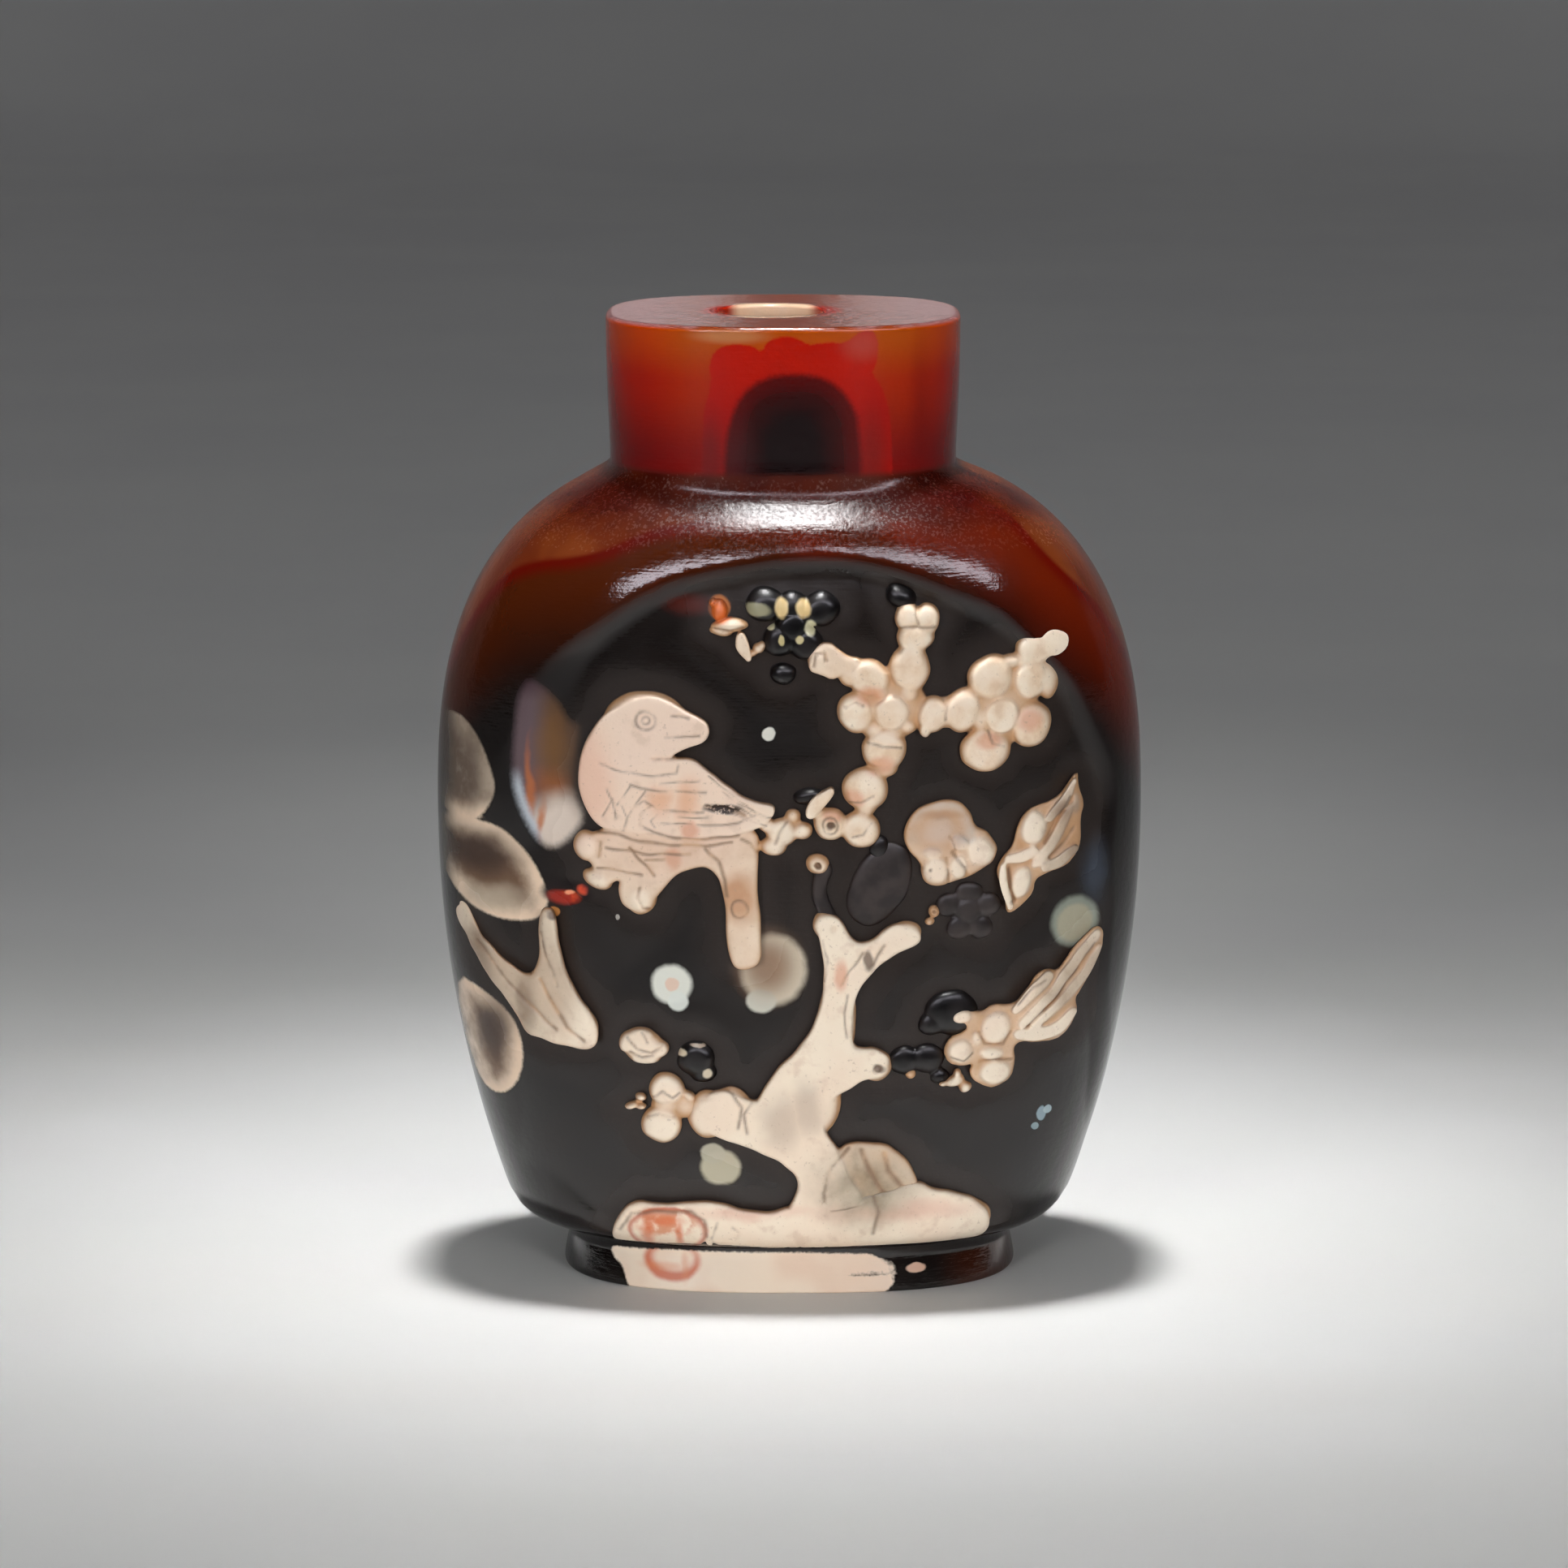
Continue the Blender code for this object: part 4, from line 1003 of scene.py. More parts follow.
# %% [markdown]
# ## Laying the figures on the bottle
# A flat figure becomes a curved one by moving every point back to the front surface at its own x
# and z. The tops then lie on the bottle's old surface, as the skin did before it was carved.

# %% Wrap the figures on the front
for figure in skin_figures + stone_figures:
    points = coordinates(figure)
    back = front_surface(points[:, 0], points[:, 2]) + GROUND_DEPTH
    points[:, 1] = np.minimum(points[:, 1] + back, 0.0)
    move_points(figure, points * MM)
bird_size = np.ptp(coordinates(bird), axis=0) / MM
print("The bird now spans", [round(float(value), 1) for value in bird_size], "mm")

# %% [markdown]
# ## Shader expressions
# A material is a graph of nodes. This small class wraps one socket, so that a sum or a product in
# Python adds the Math node that does it. Any other node comes from the one method, node().

# %% A wrapped socket
class Link:
    def __init__(self, tree, socket):
        self.tree, self.socket = tree, socket

    def node(self, kind, settings=None, sockets=None, output=0):
        made = self.tree.nodes.new(kind)
        for key, value in (settings or {}).items():
            setattr(made, key, value)
        for key, value in (sockets or {}).items():
            if isinstance(value, Link):
                self.tree.links.new(value.socket, made.inputs[key])
            else:
                made.inputs[key].default_value = value
        return Link(self.tree, made.outputs[output])

    def math(self, operation, *values):
        return self.node("ShaderNodeMath", {"operation": operation}, dict(enumerate(values)))

    def __add__(self, other):
        return self.math("ADD", self, other)

    __radd__ = __add__

    def __sub__(self, other):
        return self.math("SUBTRACT", self, other)

    def __rsub__(self, other):
        return self.math("SUBTRACT", other, self)

    def __mul__(self, other):
        return self.math("MULTIPLY", self, other)

    __rmul__ = __mul__

    def fade(self, low, high):
        """0 at low, 1 at high, with soft ends."""
        sockets = {"Value": self, "From Min": low, "From Max": high}
        return self.node("ShaderNodeMapRange", {"interpolation_type": "SMOOTHSTEP"}, sockets)

    def over(self, first, second):
        """The first colour where this mask is 0 and the second where it is 1."""
        return self.node("ShaderNodeMix", {"data_type": "RGBA"}, {0: self, 6: first, 7: second}, 2)

    def most(self, other):
        return self.math("MAXIMUM", self, other)

    def absolute(self):
        return self.math("ABSOLUTE", self)


def start_material(name):
    """A new material, its Principled shader, and a point's place on the object in millimetres."""
    material = bpy.data.materials.new(name)
    material.use_nodes = True
    tree = material.node_tree
    shader = tree.nodes["Principled BSDF"]
    start = Link(tree, None)
    place = start.node("ShaderNodeTexCoord", output=3)
    place = place.node("ShaderNodeVectorMath", {"operation": "SCALE"}, {0: place, "Scale": 1 / MM})
    return material, shader, place


def blot(place, x, z, across, up=None, soft=0.12):
    """A mask that is 1 inside an oval on the front and 0 outside it."""
    away = place.node("ShaderNodeVectorMath", {"operation": "SUBTRACT"}, {0: place, 1: (x, 0, z)})
    scale = (1 / across, 0, 1 / (up or across))
    away = place.node("ShaderNodeVectorMath", {"operation": "MULTIPLY"}, {0: away, 1: scale})
    distance = place.node("ShaderNodeVectorMath", {"operation": "LENGTH"}, {0: away}, 1)
    return distance.fade(1 + soft, 1 - soft)


def blots(place, ovals, soft):
    """One mask for several ovals that are equally soft."""
    mask = blot(place, *ovals[0], soft)
    for oval in ovals[1:]:
        mask = mask.most(blot(place, *oval, soft))
    return mask


def grain(place, scale, detail=3.0, rough=0.5):
    """Soft noise around 0.5, with scale waves to a millimetre."""
    sockets = {"Vector": place, "Scale": scale, "Detail": detail, "Roughness": rough}
    return place.node("ShaderNodeTexNoise", {}, sockets)


def attribute(place, name):
    return place.node("ShaderNodeAttribute", {"attribute_name": name}, output=2)


def warped(place, scale, amount):
    """The place moved about by noise, so that a plain oval gets a natural edge."""
    sockets = {"Vector": place, "Scale": scale, "Detail": 3.0}
    moves = place.node("ShaderNodeTexNoise", {}, sockets, 1)
    sockets = {0: moves, 1: (0.5, 0.5, 0.5)}
    moves = place.node("ShaderNodeVectorMath", {"operation": "SUBTRACT"}, sockets)
    sockets = {0: moves, "Scale": 2 * amount}
    moves = place.node("ShaderNodeVectorMath", {"operation": "SCALE"}, sockets)
    return place.node("ShaderNodeVectorMath", {"operation": "ADD"}, {0: place, 1: moves})


def rgb(red, green, blue):
    """A colour from 0-255 screen values."""
    return tuple((value / 255) ** 2.2 for value in (red, green, blue)) + (1.0,)


def join(place, shader, name, source):
    place.tree.links.new(source.socket, shader.inputs[name])


print("Screen grey 128 is", round(rgb(128, 128, 128)[0], 3), "as light")

# %% [markdown]
# ## The agate of the body
# The same stone is nearly black on the ground, brown on the shoulders and amber on the thin neck.
# Pale rings and discs are growth rings that the polish cut through. Colours are laid over each
# other from the broadest to the smallest.

# %% Dark agate with its bands
AGATE_IOR = 1.54
stone, stone_shader, place = start_material("agate")
soft_place = warped(place, 0.35, 0.7)
fine_place = warped(place, 1.2, 0.12)
parts = place.node("ShaderNodeSeparateXYZ", {}, {0: place})
across, deep, up = [Link(place.tree, parts.socket.node.outputs[k]) for k in range(3)]
front_mask = deep.fade(-0.5, -2.5)
slow = grain(place, 0.22, 2.0)
middle_grain = grain(place, 0.9)
fine = grain(place, 5.0, 4.0)

near = attribute(place, "near") + (slow - 0.5) * 2.5
panel = attribute(place, "panel")
satin = near.fade(2.6, 0.0) * panel.fade(0.2, 1.0)
dark = slow.fade(0.35, 0.7).over(rgb(25, 21, 20), rgb(32, 27, 25))
colour = satin.over(dark, rgb(42, 34, 30))
colour = (fine.fade(0.55, 0.85) * satin * 0.25).over(colour, rgb(84, 72, 64))

brown = attribute(place, "brown")
off_panel = panel.fade(0.9, -0.3)
haze = brown.fade(-8.0, -1.0) * off_panel
tier = (slow + across * 0.02).fade(0.35, 0.7).over(rgb(72, 32, 14), rgb(98, 31, 12))
colour = haze.over(colour, tier)
swoosh = brown.fade(-1.1, -0.1) * off_panel
colour = (swoosh * 0.85).over(colour, rgb(92, 14, 8))
cap = brown.fade(-0.15, 0.3)
amber_cap = slow.fade(0.4, 0.62).over(rgb(98, 42, 22), rgb(116, 56, 28))
colour = cap.over(colour, amber_cap)
collar = (up + (middle_grain - 0.5) * 2.0).fade(47.6, 50.0) * front_mask
colour = (collar * 0.85).over(colour, slow.fade(0.4, 0.6).over(rgb(58, 12, 9), rgb(76, 24, 15)))
dust = (fine + middle_grain * 0.5).fade(0.9, 1.0) * up.fade(49.4, 51.2)
dust = dust * up.fade(52.4, 51.9) * front_mask
dust = dust * (across + 0.4).absolute().fade(13.0, 8.0)
colour = (dust * 0.45).over(colour, rgb(150, 116, 104))
print("The ground, the haze and the brown cap use", len(place.tree.nodes), "nodes so far")

# %% [markdown]
# Light passes through the neck, so it glows amber and turns deep red towards its foot. In front of
# the bore the stone is thick and dark, and a red lobed cloud borders it.

# %% Neck and lip
neck = up.fade(51.5, 52.1)
off_arch = (across - 0.5).absolute().fade(6.2, 9.8)
amber = off_arch.over(rgb(176, 76, 16), rgb(190, 64, 10))
amber = up.fade(60.6, 57.4).over(amber, off_arch.over(rgb(166, 42, 3), rgb(164, 28, 1)))
amber = up.fade(57.8, 52.6).over(amber, off_arch.over(rgb(124, 14, 2), rgb(112, 8, 1)))
amber = (blot(place, 8.1, 54.6, 0.5, 4.4, 1.0) * 0.4).over(amber, rgb(104, 8, 2))
# The neck's sides are painted darker where they turn away from the lamps: painted shade.
painted_edge_shade = (across + 0.4).absolute().fade(9.9, 11.1) * up.fade(59.5, 54.5)
amber = (painted_edge_shade * 0.6).over(amber, rgb(92, 14, 12))
amber = (blot(place, -3.7, 60.45, 2.0, 0.4, 0.6) * 0.8).over(amber, rgb(188, 124, 80))
arch_edge = (fine - 0.5) * 0.2
arch = (attribute(place, "arch") + arch_edge).fade(-0.1, 0.1)
red = (up.fade(59.0, 55.0) * 0.6 + middle_grain * 0.4).over(rgb(182, 28, 2), rgb(158, 14, 1))
red = (blot(place, 4.6, 60.0, 1.2, 0.9, 0.8) * 0.5).over(red, rgb(176, 84, 70))
red = (blot(place, -4.9, 52.6, 1.0, 2.6, 0.8) * 0.8).over(red, rgb(98, 26, 27))
red = (blot(place, 5.0, 52.6, 0.9, 2.8, 0.8) * 0.7).over(red, rgb(114, 24, 19))
amber = arch.over(amber, red)
dark_arch = (attribute(place, "dark_arch") + arch_edge).fade(-0.4, 0.2)
deep_red = attribute(place, "dark_arch").fade(0.2, 1.4).over(rgb(80, 6, 4), rgb(56, 8, 8))
amber = dark_arch.over(amber, deep_red)
# A painted lilac reflection on the left inside the dark arch, where the foot of the neck catches the
# light.
amber = (dark_arch * (blot(place, -3.2, 52.4, 1.1, 2.4, 0.8) * 0.6)).over(amber, rgb(66, 32, 34))
core = (attribute(place, "core") + (middle_grain - 0.5) * 0.8).fade(-1.3, 0.9)
amber = core.over(amber, rgb(26, 11, 13))
colour = neck.over(colour, amber)
# The lip is red-brown; its left and right ends are painted lilac-grey, a painted reflection of the light
# above and behind.
lip = up.fade(60.72, 60.95)
lip_reflection_mask = (middle_grain + (across + 0.4).absolute() * 0.05).fade(0.6, 0.95)
lip_colour_and_reflection = lip_reflection_mask.over(rgb(112, 48, 28), rgb(132, 98, 100))
colour = (lip * 0.85).over(colour, lip_colour_and_reflection)
flat = {0: place, 1: (1, 1, 0), 2: (-MOUTH_SHIFT, 0, 0)}
from_mouth = place.node("ShaderNodeVectorMath", {"operation": "MULTIPLY_ADD"}, flat)
from_mouth = place.node("ShaderNodeVectorMath", {"operation": "LENGTH"}, {0: from_mouth}, 1)
mouth = (from_mouth + (middle_grain - 0.5) * 0.5).fade(4.7, 4.0) * up.fade(50.0, 56.0)
cream_mouth = (across + 1.0).absolute().fade(3.0, 2.0)
colour = mouth.over(colour, cream_mouth.over(rgb(160, 36, 16), rgb(230, 192, 160)))
hollow = attribute(place, "hollow") * up.fade(56.0, 50.0)
colour = hollow.over(colour, rgb(64, 30, 20))

# %% Smoky patches, the flame and the pale rings
smoky_inside = attribute(place, "smoky") + (fine - 0.5) * 0.15
round_the_side = (deep + (middle_grain - 0.5) * 3.0).fade(-1.5, -6.0)
smoky = smoky_inside.fade(-0.1, 0.15) * round_the_side
smoke = (smoky_inside + (middle_grain - 0.5) * 0.9).fade(0.25, 1.7)
smoke = smoke.over(rgb(230, 204, 178), rgb(108, 84, 66))
smoke_dark = blots(soft_place, [(-19.6, 27.9, 2.4, 1.3), (-18.6, 16.6, 1.1, 2.2)], 0.8)
smoke = (smoke_dark * 0.85).over(smoke, rgb(52, 37, 30))
smoke = (blot(soft_place, -18.5, 25.1, 2.0, 0.7, 0.8) * 0.8).over(smoke, rgb(178, 162, 142))
upper_smoke = (middle_grain + across * 0.1).fade(-1.6, -1.3)
upper_smoke = upper_smoke.over(rgb(104, 92, 82), rgb(142, 130, 116))
smoke = (up.fade(30.2, 31.5) * 0.75).over(smoke, upper_smoke)
smoke = (blot(soft_place, -19.9, 33.6, 0.6, 2.2, 0.9) * 0.6).over(smoke, rgb(96, 82, 72))
smoke = (across.fade(-20.6, -22.0) * 0.85).over(smoke, rgb(26, 23, 22))
colour = smoky.over(colour, smoke)
flame_inside = attribute(place, "flame_patch") + (fine - 0.5) * 0.2
flame = flame_inside.fade(-0.25, 0.5) * front_mask
flame_colour = across.fade(-16.2, -14.6).over(rgb(96, 80, 84), rgb(84, 62, 46))
flame_colour = (up.fade(37.6, 39.2) * 0.8).over(flame_colour, rgb(66, 48, 54))
flame_heart = blot(soft_place, -14.7, 35.4, 0.9, 1.8, 0.8) * 0.5
flame_colour = flame_heart.over(flame_colour, rgb(126, 88, 48))
flame_waist = blot(soft_place, -15.0, 32.6, 1.0, 1.1, 0.7) * 0.6
flame_colour = flame_waist.over(flame_colour, rgb(150, 88, 48))
flame_foot = blot(soft_place, -14.3, 29.9, 1.9, 2.0, 0.6)
flame_colour = flame_foot.over(flame_colour, rgb(214, 198, 184))
flame_line = blots(soft_place, [(-16.15, 32.2, 0.22, 2.4), (-15.5, 30.0, 0.2, 1.3)], 0.8)
flame_colour = (flame_line * 0.8).over(flame_colour, rgb(180, 104, 60))
flame_outer = flame_inside.fade(0.9, 0.3) * across.fade(-15.2, -16.0) * up.fade(33.8, 32.2)
flame_colour = flame_outer.over(flame_colour, rgb(182, 188, 196))
colour = flame.over(colour, flame_colour)
PALE = [
    (-7.34, 20.2, 1.25, 1.22, rgb(228, 229, 218)),
    (-6.95, 19.1, 0.64, 0.6, rgb(218, 222, 214)),
    (-7.3, 20.2, 0.45, 0.45, rgb(222, 192, 172)),
    (-1.0, 21.2, 2.0, 2.2, rgb(222, 210, 188)),
    (-1.75, 19.2, 0.95, 0.75, rgb(206, 204, 190)),
    (-4.3, 8.4, 1.25, 1.1, rgb(188, 180, 156)),
    (-4.8, 9.3, 0.75, 0.65, rgb(180, 174, 154)),
    (-1.3, 36.1, 0.42, 0.42, rgb(228, 226, 216)),
    (17.9, 23.5, 1.5, 1.6, rgb(140, 146, 134)),
    (17.9, 23.4, 1.15, 1.2, rgb(166, 160, 138)),
    (-14.7, 24.5, 0.35, 0.3, rgb(196, 130, 70)),
    (-10.7, 24.4, 0.13, 0.16, rgb(170, 166, 158)),
    (15.9, 11.1, 0.3, 0.5, rgb(140, 160, 168)),
    (16.3, 11.3, 0.25, 0.28, rgb(160, 178, 184)),
    (15.5, 10.3, 0.25, 0.22, rgb(130, 150, 156)),
    (8.0, 1.4, 0.6, 0.3, rgb(208, 168, 146)),
    (-0.5, 43.95, 0.4, 0.55, rgb(226, 196, 140)),
    (-4.33, 43.95, 0.65, 0.75, rgb(196, 110, 34)),
]
for x0, z0, wide, tall, tint in PALE:
    colour = (blot(fine_place, x0, z0, wide, tall, 0.16) * front_mask * 0.92).over(colour, tint)
brown_heart = blot(place, -1.3, 21.4, 1.6, 1.8, 0.75) * front_mask
colour = (brown_heart * 0.9).over(colour, rgb(132, 102, 80))
blue_haze = blot(soft_place, 19.2, 26.6, 0.7, 1.7, 0.8) * front_mask
colour = (blue_haze * 0.7).over(colour, rgb(58, 66, 78))
ember = blot(fine_place, -13.9, 25.75, 1.55, 0.85, 0.25) * front_mask
colour = ember.over(colour, rgb(22, 9, 9))
glow = blot(fine_place, -14.1, 25.45, 0.95, 0.45, 0.4)
glow = glow.most(blot(fine_place, -12.9, 26.0, 0.3, 0.3, 0.5)) * front_mask
colour = glow.over(colour, middle_grain.fade(0.4, 0.6).over(rgb(200, 66, 28), rgb(150, 34, 14)))
glint = blot(fine_place, -13.7, 25.8, 0.3, 0.14, 0.4) * front_mask
colour = glint.over(colour, rgb(236, 150, 112))
crack = blot(fine_place, -6.2, 44.1, 1.3, 0.55, 0.7) * front_mask
colour = (crack * 0.8).over(colour, rgb(84, 26, 12))
foot_skin = (attribute(place, "foot_skin") + (fine - 0.5) * 0.2).fade(-0.08, 0.1) * front_mask
foot_cream = slow.fade(0.4, 0.6).over(rgb(238, 219, 198), rgb(232, 206, 184))
foot_ring = blot(fine_place, -7.4, 1.9, 1.75, 1.3, 0.15)
foot_ring = foot_ring - blot(fine_place, -7.3, 2.1, 1.3, 0.85, 0.3)
foot_cream = (foot_ring * 0.85).over(foot_cream, rgb(198, 84, 40))
foot_streak = blots(fine_place, [(-7.9, 1.5, 1.2, 0.25), (-6.6, 1.6, 0.25, 0.8)], 0.8)
foot_cream = (foot_streak * 0.5).over(foot_cream, rgb(216, 132, 88))
colour = foot_skin.over(colour, foot_cream)
foot_side = up.fade(2.2, 1.9) * across.fade(9.0, 12.0)
colour = (foot_side * 0.6).over(colour, rgb(70, 34, 20))
join(place, stone_shader, "Base Color", colour)

# %% Polish of the stone
shoulder = up.fade(45.5, 48.0) * up.fade(51.9, 51.4)
polish = 0.18 + 0.2 * satin + (middle_grain - 0.5) * 0.08 + 0.08 * foot_skin
panel_rim = panel.fade(-2.4, -1.4) * panel.fade(0.8, 0.2)
polish = polish + shoulder * fine.fade(0.35, 0.7) * 0.14 - 0.06 * neck - 0.08 * panel_rim
join(place, stone_shader, "Roughness", polish)
long_and_thin = {0: place, 1: (0.25, 0.25, 3.0)}
scratches = place.node("ShaderNodeVectorMath", {"operation": "MULTIPLY"}, long_and_thin)
scratches = grain(scratches, 2.2, 4.0)
relief = grain(place, 1.6, 3.0) * 0.6 + scratches * 0.25 + fine * 0.15
bump = place.node("ShaderNodeBump", {}, {"Height": relief, "Strength": 0.12, "Distance": 0.0003})
join(place, stone_shader, "Normal", bump)
stone_shader.inputs["IOR"].default_value = AGATE_IOR
body.data.materials.append(stone)
print("The agate uses", len(stone.node_tree.nodes), "nodes")

# %% [markdown]
# ## The cream skin
# The skin is cream on top. Where the wheel cut down through it, thin brown layers show along its edges,
# and lower parts are also browner as painted shade in the valleys between petals. Cut lines are painted a
# darker grey-brown, and iron stains the skin orange in places.

# %% Cream skin
cream, cream_shader, place = start_material("cream_skin")
high = attribute(place, "high")
line = attribute(place, "line")
fine_place = warped(place, 1.0, 0.2)
parts = place.node("ShaderNodeSeparateXYZ", {}, {0: place})
across, deep, up = [Link(place.tree, parts.socket.node.outputs[k]) for k in range(3)]
slow = grain(place, 0.25, 2.0)
middle_grain = grain(place, 0.8, 4.0)
fine = grain(place, 4.0, 4.0)
soft_place = warped(place, 0.4, 0.8)
pink = blot(soft_place, -8.0, 33.0, 6.5, 6.5, 0.25)
top = pink.over(rgb(246, 229, 206), rgb(238, 211, 190))
top = (slow.fade(0.4, 0.6) * 0.5).over(top, rgb(240, 214, 190))
top = (middle_grain.fade(0.55, 0.72) * 0.5).over(top, rgb(214, 186, 162))
# The bird's rounded left side is painted pinker and darker: painted shade.
painted_flank_shade = blot(soft_place, -12.6, 33.0, 1.6, 3.4, 0.6)
top = (painted_flank_shade * 0.7).over(top, rgb(232, 186, 160))
smoked = [(17.4, 28.2, 1.6, 3.6), (17.6, 20.4, 2.4, 2.6), (-17.5, 20.5, 4.6, 4.5)]
shadow = blots(soft_place, smoked, 0.35)
top = (shadow * (0.35 + 0.5 * middle_grain)).over(top, rgb(168, 146, 122))
sprays = blot(soft_place, 9.8, 37.8, 7.5, 6.5, 0.2)
sprays = sprays.most(blot(soft_place, 3.8, 31.0, 3.2, 3.0, 0.3))
top = (sprays * middle_grain.fade(0.3, 0.75) * 0.6).over(top, rgb(222, 186, 146))
crest_smoke = blots(soft_place, [(-19.4, 21.0, 0.9, 2.6), (-16.6, 18.4, 0.5, 1.8)], 0.8)
top = (crest_smoke * 0.6).over(top, rgb(112, 88, 70))
bank_blush = blots(soft_place, [(6.8, 5.6, 4.0, 0.5), (-2.4, 5.7, 3.0, 0.4)], 0.9)
top = (bank_blush * 0.6).over(top, rgb(222, 170, 148))
waist = blots(soft_place, [(-0.5, 11.5, 1.3, 1.6), (1.1, 12.5, 0.9, 1.6)], 0.7)
top = (waist * 0.45).over(top, rgb(158, 138, 122))
second_rock = blot(soft_place, 4.9, 7.4, 2.6, 2.2, 0.9)
top = (second_rock * (0.45 + 0.9 * middle_grain)).over(top, rgb(134, 120, 98))
brown_patch = blot(fine_place, -3.2, 25.9, 1.1, 1.5, 0.5)
top = (brown_patch * 0.75).over(top, rgb(182, 122, 76))
wing_stain = blot(soft_place, -6.3, 32.1, 0.6, 1.1, 0.95)
wing_stain = wing_stain.most(blot(soft_place, -8.1, 32.0, 0.8, 0.8, 0.9))
top = (wing_stain * 0.6).over(top, rgb(222, 154, 104))
leaf_valley = blots(fine_place, [(17.0, 30.8, 0.9, 0.8), (17.9, 29.6, 0.9, 2.2)], 0.8)
top = (leaf_valley * 0.75).over(top, rgb(132, 104, 84))
disc_rim = blot(fine_place, 9.2, 30.1, 2.4, 2.1, 0.1) * up.fade(29.0, 29.6)
top = (disc_rim * 0.85).over(top, rgb(208, 218, 216))
disc_face = blot(fine_place, 9.3, 30.0, 1.8, 1.5, 0.35)
top = (disc_face * 0.8).over(top, rgb(206, 172, 148))
disc_arc = blot(fine_place, 9.5, 31.0, 1.3, 0.25, 0.8)
top = (disc_arc * 0.75).over(top, rgb(148, 108, 84))
stain_places = [
    (-7.75, 4.9, 2.0, 0.9), (-7.2, 28.4, 0.5, 0.7), (4.9, 38.6, 0.9, 0.6), (5.6, 34.2, 0.9, 0.6),
    (3.9, 32.1, 0.7, 0.6), (2.7, 31.2, 0.6, 0.5), (14.9, 36.8, 0.8, 0.7), (12.4, 35.6, 0.8, 0.5),
    (-6.2, 30.2, 0.5, 0.5), (3.2, 21.0, 0.4, 0.9),
]
amber_spot = blot(fine_place, -4.35, 43.85, 0.8, 0.8, 0.3)
stain = blot(fine_place, *stain_places[0], 0.3) * middle_grain.fade(0.42, 0.58)
for oval in stain_places[1:]:
    stain = stain.most(blot(fine_place, *oval, 0.5) * 0.7)
top = (stain * 0.75).over(top, rgb(206, 118, 72))
stone_ring = blot(fine_place, -7.65, 4.25, 2.5, 1.65, 0.06)
stone_ring = stone_ring - blot(fine_place, -7.65, 4.25, 2.22, 1.4, 0.1)
top = (stone_ring * 0.75).over(top, rgb(186, 76, 40))
streaks = [(-8.9, 4.2, 0.4, 1.1), (-7.9, 5.0, 1.1, 0.3), (-6.9, 4.1, 0.22, 0.9)]
orange_streak = blots(fine_place, streaks, 0.8)
top = (orange_streak * 0.75).over(top, rgb(212, 104, 54))
speckle = fine.fade(0.62, 0.72) * 0.35
top = speckle.over(top, rgb(170, 144, 120))
# Lower parts of the skin turn brown: partly the brown layer under the cream, partly painted shade in the
# valleys between petals.
layer_and_valley_shade = high + (middle_grain - 0.5) * 0.25
skin = layer_and_valley_shade.fade(0.42, 0.9).over(rgb(192, 148, 108), top)
skin = high.fade(0.06, 0.32).over(rgb(66, 42, 32), skin)
skin = (amber_spot * 0.9).over(skin, rgb(214, 96, 20))
skin = (line * middle_grain.fade(0.3, 0.6) * 0.7).over(skin, rgb(112, 90, 74))
chip = blot(fine_place, -4.1, 31.55, 1.15, 0.3, 0.3)
skin = (chip * fine.fade(0.3, 0.5)).over(skin, rgb(58, 44, 36))
pits = [
    (2.65, 30.5, 0.24, 0.22), (1.8, 27.9, 0.2, 0.18), (-14.75, 24.4, 0.4, 0.3),
    (5.6, 15.0, 0.35, 0.3), (4.9, 21.9, 0.3, 0.6),
]
for oval in pits:
    skin = (blot(fine_place, *oval, 0.4) * 0.8).over(skin, rgb(84, 58, 42))
join(place, cream_shader, "Base Color", skin)
join(place, cream_shader, "Roughness", 0.36 + 0.2 * middle_grain + 0.15 * line)
relief = grain(place, 2.2, 4.0) + fine * 0.3
bump = place.node("ShaderNodeBump", {}, {"Height": relief, "Strength": 0.18, "Distance": 0.0002})
join(place, cream_shader, "Normal", bump)
cream_shader.inputs["IOR"].default_value = AGATE_IOR
print("The cream skin uses", len(cream.node_tree.nodes), "nodes")

# %% Black buds
black, black_shader, place = start_material("black_agate")
fine_place = warped(place, 1.0, 0.15)
slow = grain(place, 0.8)
shade = slow.fade(0.35, 0.65).over(rgb(14, 12, 13), rgb(30, 25, 25))
CAUGHT = [
    (-0.5, 44.0, 0.4, 0.6, rgb(228, 200, 146)),
    (0.87, 44.0, 0.45, 0.55, rgb(226, 196, 140)),
    (-1.2, 42.85, 0.3, 0.2, rgb(206, 196, 160)),
    (1.3, 42.8, 0.35, 0.5, rgb(212, 206, 172)),
    (-0.52, 42.05, 0.2, 0.3, rgb(198, 182, 130)),
    (0.6, 42.1, 0.25, 0.25, rgb(198, 182, 130)),
    (-2.05, 43.9, 0.85, 0.4, rgb(150, 146, 118)),
    (-6.7, 15.9, 0.3, 0.22, rgb(216, 200, 174)),
    (-5.1, 14.6, 0.3, 0.3, rgb(206, 192, 168)),
    (-5.7, 16.4, 0.5, 0.1, rgb(190, 170, 150)),
]
for x0, z0, wide, tall, tint in CAUGHT:
    shade = blot(fine_place, x0, z0, wide, tall, 0.25).over(shade, tint)
join(place, black_shader, "Base Color", shade)
join(place, black_shader, "Roughness", 0.22 + 0.25 * slow)
black_shader.inputs["IOR"].default_value = AGATE_IOR

satin_black, satin_shader, place = start_material("satin_agate")
slow = grain(place, 0.8)
shade = slow.fade(0.35, 0.65).over(rgb(40, 34, 33), rgb(56, 48, 46))
join(place, satin_shader, "Base Color", shade)
join(place, satin_shader, "Roughness", 0.36 + 0.15 * slow)
satin_shader.inputs["IOR"].default_value = AGATE_IOR
print("Two dark finishes: polished black and satin")

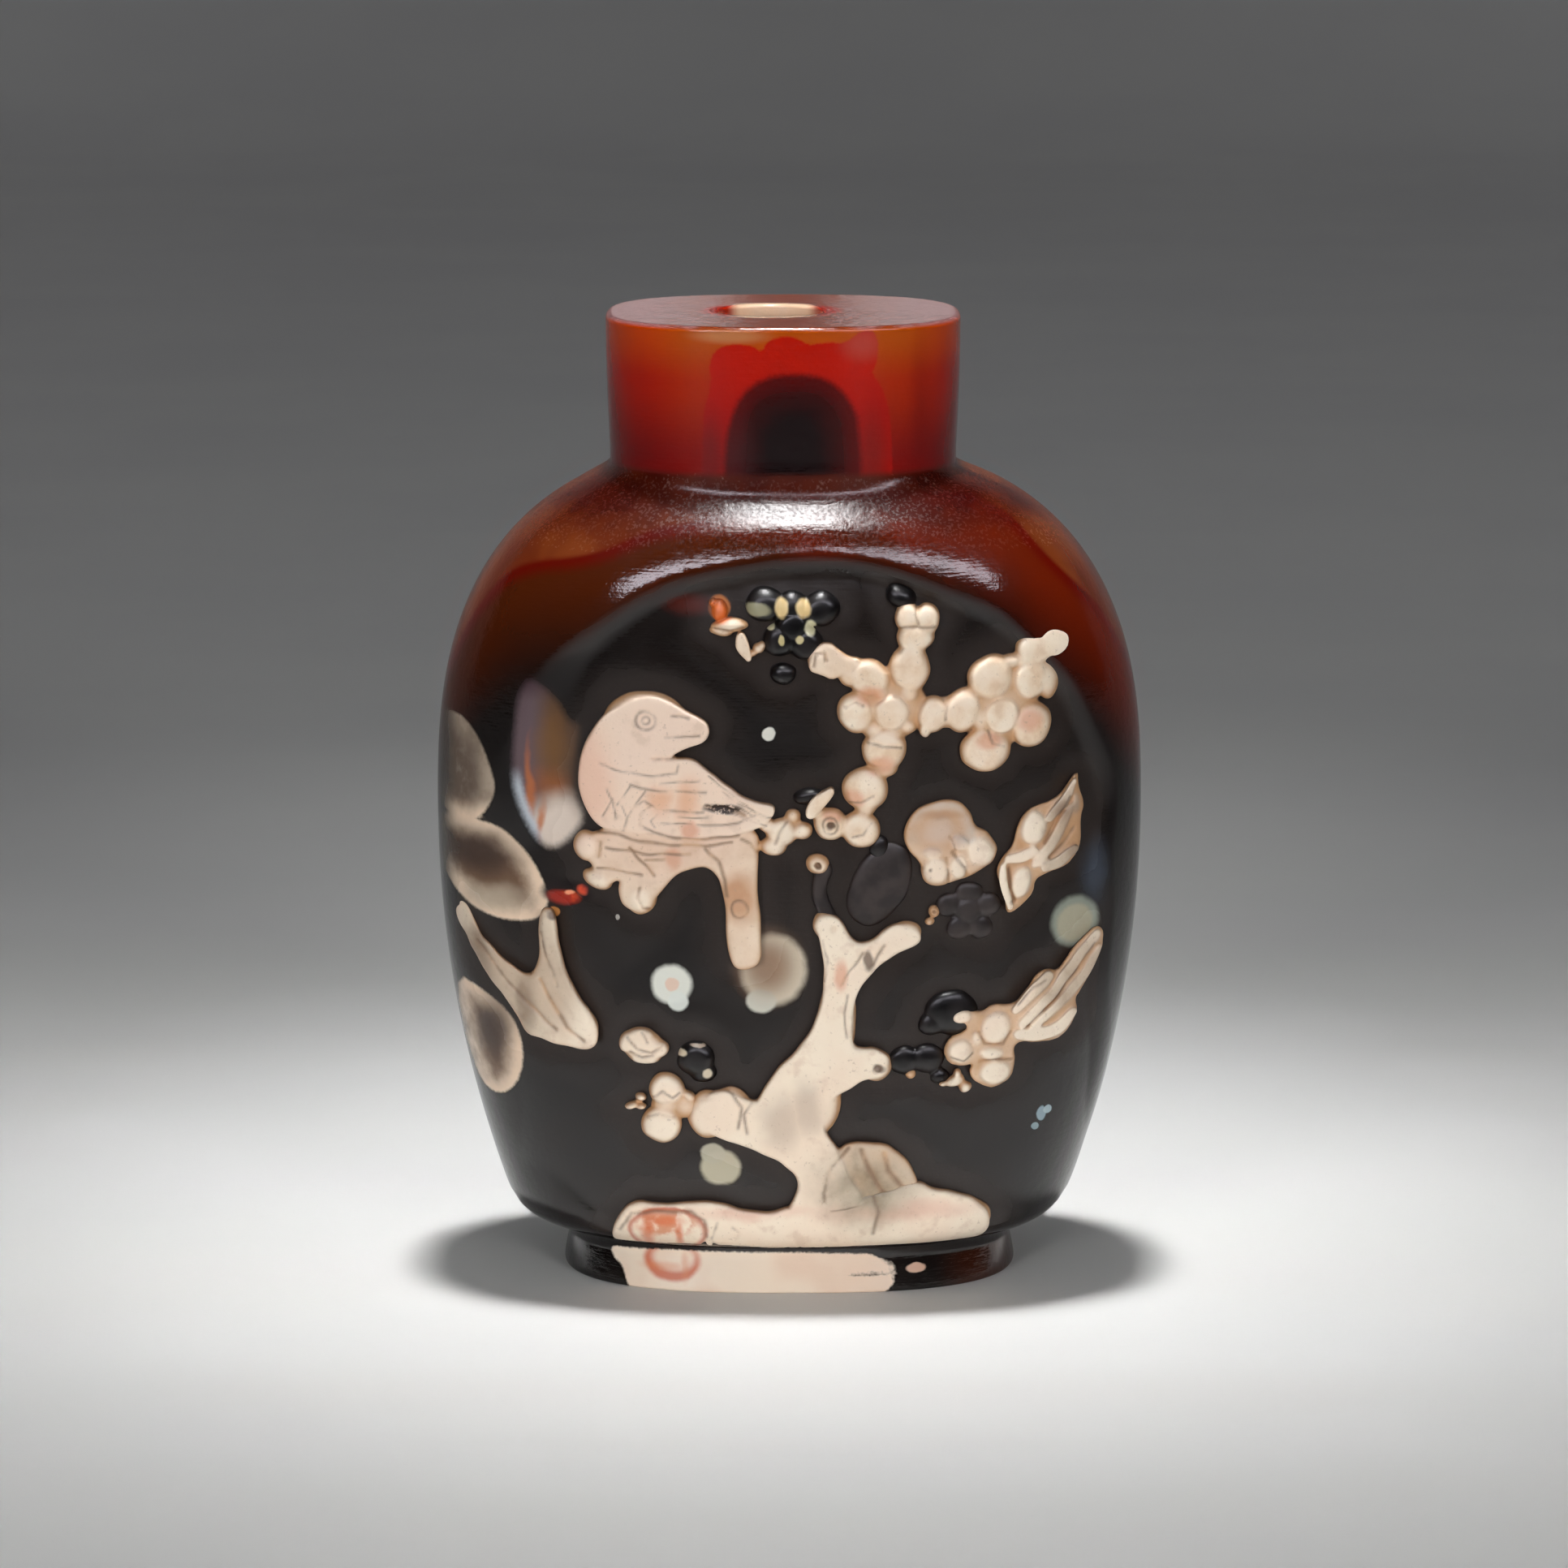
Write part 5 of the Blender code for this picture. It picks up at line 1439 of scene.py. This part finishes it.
# %% Hand the pieces over to the frame
for figure in skin_figures:
    figure.data.materials.append(cream)
black_buds.data.materials.append(black)
low_buds.data.materials.append(satin_black)
for piece in [body] + skin_figures + stone_figures:
    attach(piece, "root")
    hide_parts("bottle")
print(len(skin_figures), "skin figures and", len(stone_figures), "groups of buds ride on the bottle")

# %% [markdown]
# ## Table, light and camera
# The bottle stands on a pale table. A small lamp straight above makes the bright pool and the
# shadow, and larger soft lights show the carving. A few lamps that only show as reflections put the
# highlights on the shoulder and the lip. The camera is far away with a long lens, a little above
# the bottle.

# %% Table and backdrop
start_fresh()
bpy.ops.mesh.primitive_grid_add(x_subdivisions=4, y_subdivisions=60, size=1)
table = bpy.context.object
table.name = "table"
spread = coordinates(table)
TABLE_WIDTH = 5.0
TABLE_START = -1.0
TABLE_RUN = 2.6
TABLE_END = 0.8
BEND_RADIUS = 0.22
BEND_RUN = 0.35
run = (spread[:, 1] + 0.5) * TABLE_RUN + TABLE_START
bend = clamp((run - TABLE_END) / BEND_RUN)
spread[:, 0] *= TABLE_WIDTH
spread[:, 1] = np.minimum(run, TABLE_END) + BEND_RADIUS * np.sin(bend * np.pi / 2)
wall = np.maximum(run - TABLE_END - BEND_RUN, 0)
spread[:, 2] = BEND_RADIUS * (1 - np.cos(bend * np.pi / 2)) + wall
move_points(table, spread)
bpy.ops.object.shade_smooth()
cloth, cloth_shader, place = start_material("pale_table")
parts = place.node("ShaderNodeSeparateXYZ", {}, {0: place})
across, deep, up = [Link(place.tree, parts.socket.node.outputs[k]) for k in range(3)]
mottle = grain(place, 0.02)
pale = mottle.fade(0.3, 0.7).over(rgb(234, 234, 232), rgb(230, 230, 229))
join(place, cloth_shader, "Base Color", pale)
cloth_shader.inputs["Roughness"].default_value = 0.75
cloth_shader.inputs["Specular IOR Level"].default_value = 0.2
table.data.materials.append(cloth)
table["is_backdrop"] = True

# %% Lights
def lamp(name, place, aim, width, height, power, spread=180, roll=0):
    bpy.ops.object.light_add(type="AREA", location=place)
    light = bpy.context.object
    light.name = name
    light.data.shape = "RECTANGLE"
    light.data.size = width
    light.data.size_y = height
    light.data.energy = power
    light.data.spread = math.radians(spread)
    turn = (Vector(aim) - Vector(place)).to_track_quat("-Z", "Y")
    light.rotation_euler = (turn @ Quaternion((0, 0, 1), math.radians(roll))).to_euler()
    return light


def shine(name, place, aim, width, height, power, roll=0, tint=(1, 1, 1)):
    """A soft lamp that only shows as a reflection."""
    light = lamp(name, place, aim, width, height, power, 180, roll)
    light.data.color = tint
    light.visible_diffuse = False
    light.visible_camera = False


bpy.ops.object.light_add(type="SPOT", location=(0.0, 0.015, 0.42))
pool = bpy.context.object
pool.name = "pool"
pool.data.energy = 2.0
pool.data.spot_size = math.radians(20)
pool.data.spot_blend = 1.0
pool.data.shadow_soft_size = 0.012
lamp("overhead", (0.0, 0.03, 0.5), (0, 0, 0.0), 0.06, 0.03, 0.0175, 22)
lamp("wide_overhead", (0.0, 0.03, 0.5), (0, 0, 0.0), 0.06, 0.03, 0.042, 45)
for side in (-1, 1):
    box = lamp("softbox", (0.42 * side, -0.8, 0.2), (0, 0, 0.04), 0.25, 0.3, 0.122, 30)
    box.visible_glossy = False
    shine("lip_shine", (0.024 * side, 0.7, 0.14), (0, 0, 0.06), 0.03, 0.04, 0.002)
SHINE_AIM = (0, 0, 0.045)
LILAC = (0.93, 0.9, 1.0)
shine("left_shine", (-0.195, -0.472, 0.363), SHINE_AIM, 0.34, 0.09, 1.0, 30, LILAC)
shine("right_shine", (0.257, -0.381, 0.431), SHINE_AIM, 0.5, 0.09, 1.2, -18, LILAC)
shine("shoulder_shine", (0.0, -0.1, 0.5), SHINE_AIM, 0.09, 0.12, 1.1)
world = bpy.context.scene.world or bpy.data.worlds.new("studio")
bpy.context.scene.world = world
world.use_nodes = True
world.node_tree.nodes["Background"].inputs["Color"].default_value = (0.32, 0.32, 0.33, 1)
world.node_tree.nodes["Background"].inputs["Strength"].default_value = 0.34
world.cycles_visibility.glossy = False
bpy.context.scene.view_settings.view_transform = "Standard"

# %% Camera
bpy.ops.object.camera_add(location=(-0.00034, -0.4116, 0.1062), rotation=(math.radians(79.6), 0, 0))
camera = bpy.context.object
camera.data.lens = 150.5
camera.data.sensor_width = 36
camera.data.clip_start = 0.01
bpy.context.scene.camera = camera
print("Camera", round(camera.location.length, 3), "m away")

# %% Print the CAD box and the visual box
visual_box = [list(corner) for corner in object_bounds()]
for title, box in (("CAD", cad_box), ("visual", visual_box)):
    print(title, "box in mm:", [[round(value / MM, 2) for value in corner] for corner in box])
